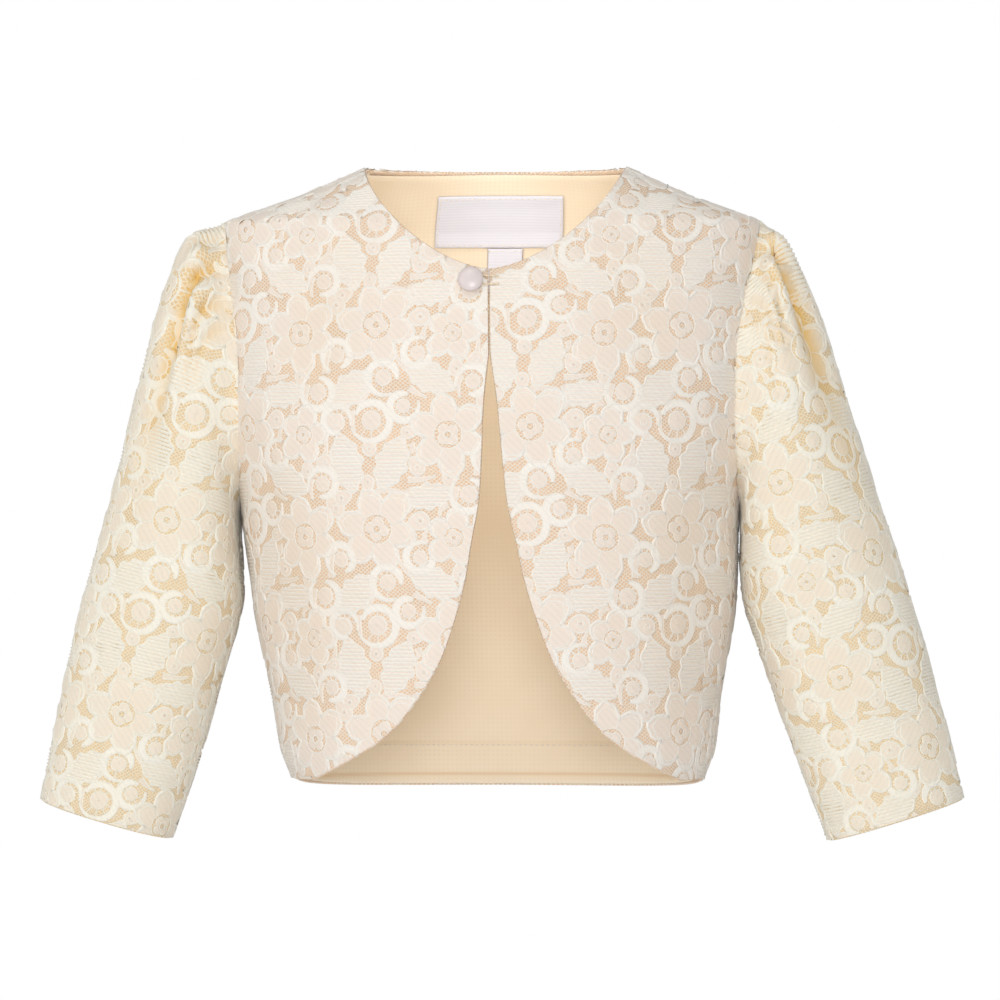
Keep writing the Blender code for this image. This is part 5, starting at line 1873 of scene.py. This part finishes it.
class Making:
    """What all the operators do: they run the function that makes their pieces."""

    def execute(self, context):
        self.make()
        return {"FINISHED"}


class BOLERO_OT_fronts(Making, bpy.types.Operator):
    """Makes both fronts with their lace"""

    bl_idname = "bolero.fronts"
    bl_label = "Lace fronts"
    make = staticmethod(make_fronts)


class BOLERO_OT_back(Making, bpy.types.Operator):
    """Makes the back with its lace"""

    bl_idname = "bolero.back"
    bl_label = "Lace back"
    make = staticmethod(make_back)


class BOLERO_OT_sleeves(Making, bpy.types.Operator):
    """Makes both gathered sleeves with their lace"""

    bl_idname = "bolero.sleeves"
    bl_label = "Lace sleeves"
    make = staticmethod(make_sleeves)


class BOLERO_OT_linings(Making, bpy.types.Operator):
    """Makes the linings of the fronts and the back"""

    bl_idname = "bolero.linings"
    bl_label = "Linings"
    make = staticmethod(make_linings)


class BOLERO_OT_tapes(Making, bpy.types.Operator):
    """Makes the bare label and size tab"""

    bl_idname = "bolero.tapes"
    bl_label = "Label and size tab"
    make = staticmethod(make_tapes)


class BOLERO_OT_button(Making, bpy.types.Operator):
    """Makes the pearl button"""

    bl_idname = "bolero.button"
    bl_label = "Button"
    make = staticmethod(make_button)


class BOLERO_OT_loop(Making, bpy.types.Operator):
    """Makes the thread loop round the button"""

    bl_idname = "bolero.loop"
    bl_label = "Button loop"
    make = staticmethod(make_loop)


class BOLERO_OT_stage(Making, bpy.types.Operator):
    """Makes the floor, the lights and the camera"""

    bl_idname = "bolero.stage"
    bl_label = "Stage"
    make = staticmethod(make_stage)


OPERATORS = (
    BOLERO_OT_fronts,
    BOLERO_OT_back,
    BOLERO_OT_sleeves,
    BOLERO_OT_linings,
    BOLERO_OT_tapes,
    BOLERO_OT_button,
    BOLERO_OT_loop,
    BOLERO_OT_stage,
)
SETTINGS = {
    "bolero_lace": BoleroLace,
    "bolero_lining": BoleroLining,
    "bolero_trims": BoleroTrims,
    "bolero_stage": BoleroStage,
}


class BOLERO_PT_panel(bpy.types.Panel):
    """Lists the jacket's operators"""

    bl_label = "Lace bolero jacket"
    bl_space_type = "VIEW_3D"
    bl_region_type = "UI"
    bl_category = "Bolero"

    def draw(self, context):
        for one in OPERATORS:
            self.layout.operator(one.bl_idname)


def register():
    for one in (*SETTINGS.values(), *OPERATORS, BOLERO_PT_panel):
        bpy.utils.register_class(one)
    for name, group in SETTINGS.items():
        setattr(bpy.types.Scene, name, bpy.props.PointerProperty(type=group))


def unregister():
    for name in SETTINGS:
        delattr(bpy.types.Scene, name)
    for one in (BOLERO_PT_panel, *reversed(OPERATORS), *SETTINGS.values()):
        bpy.utils.unregister_class(one)


def main():
    register()
    bpy.ops.bolero.fronts()
    bpy.ops.bolero.back()
    bpy.ops.bolero.sleeves()
    bpy.ops.bolero.linings()
    bpy.ops.bolero.tapes()
    bpy.ops.bolero.button()
    bpy.ops.bolero.loop()
    bpy.ops.bolero.stage()


if __name__ == "__main__":
    main()
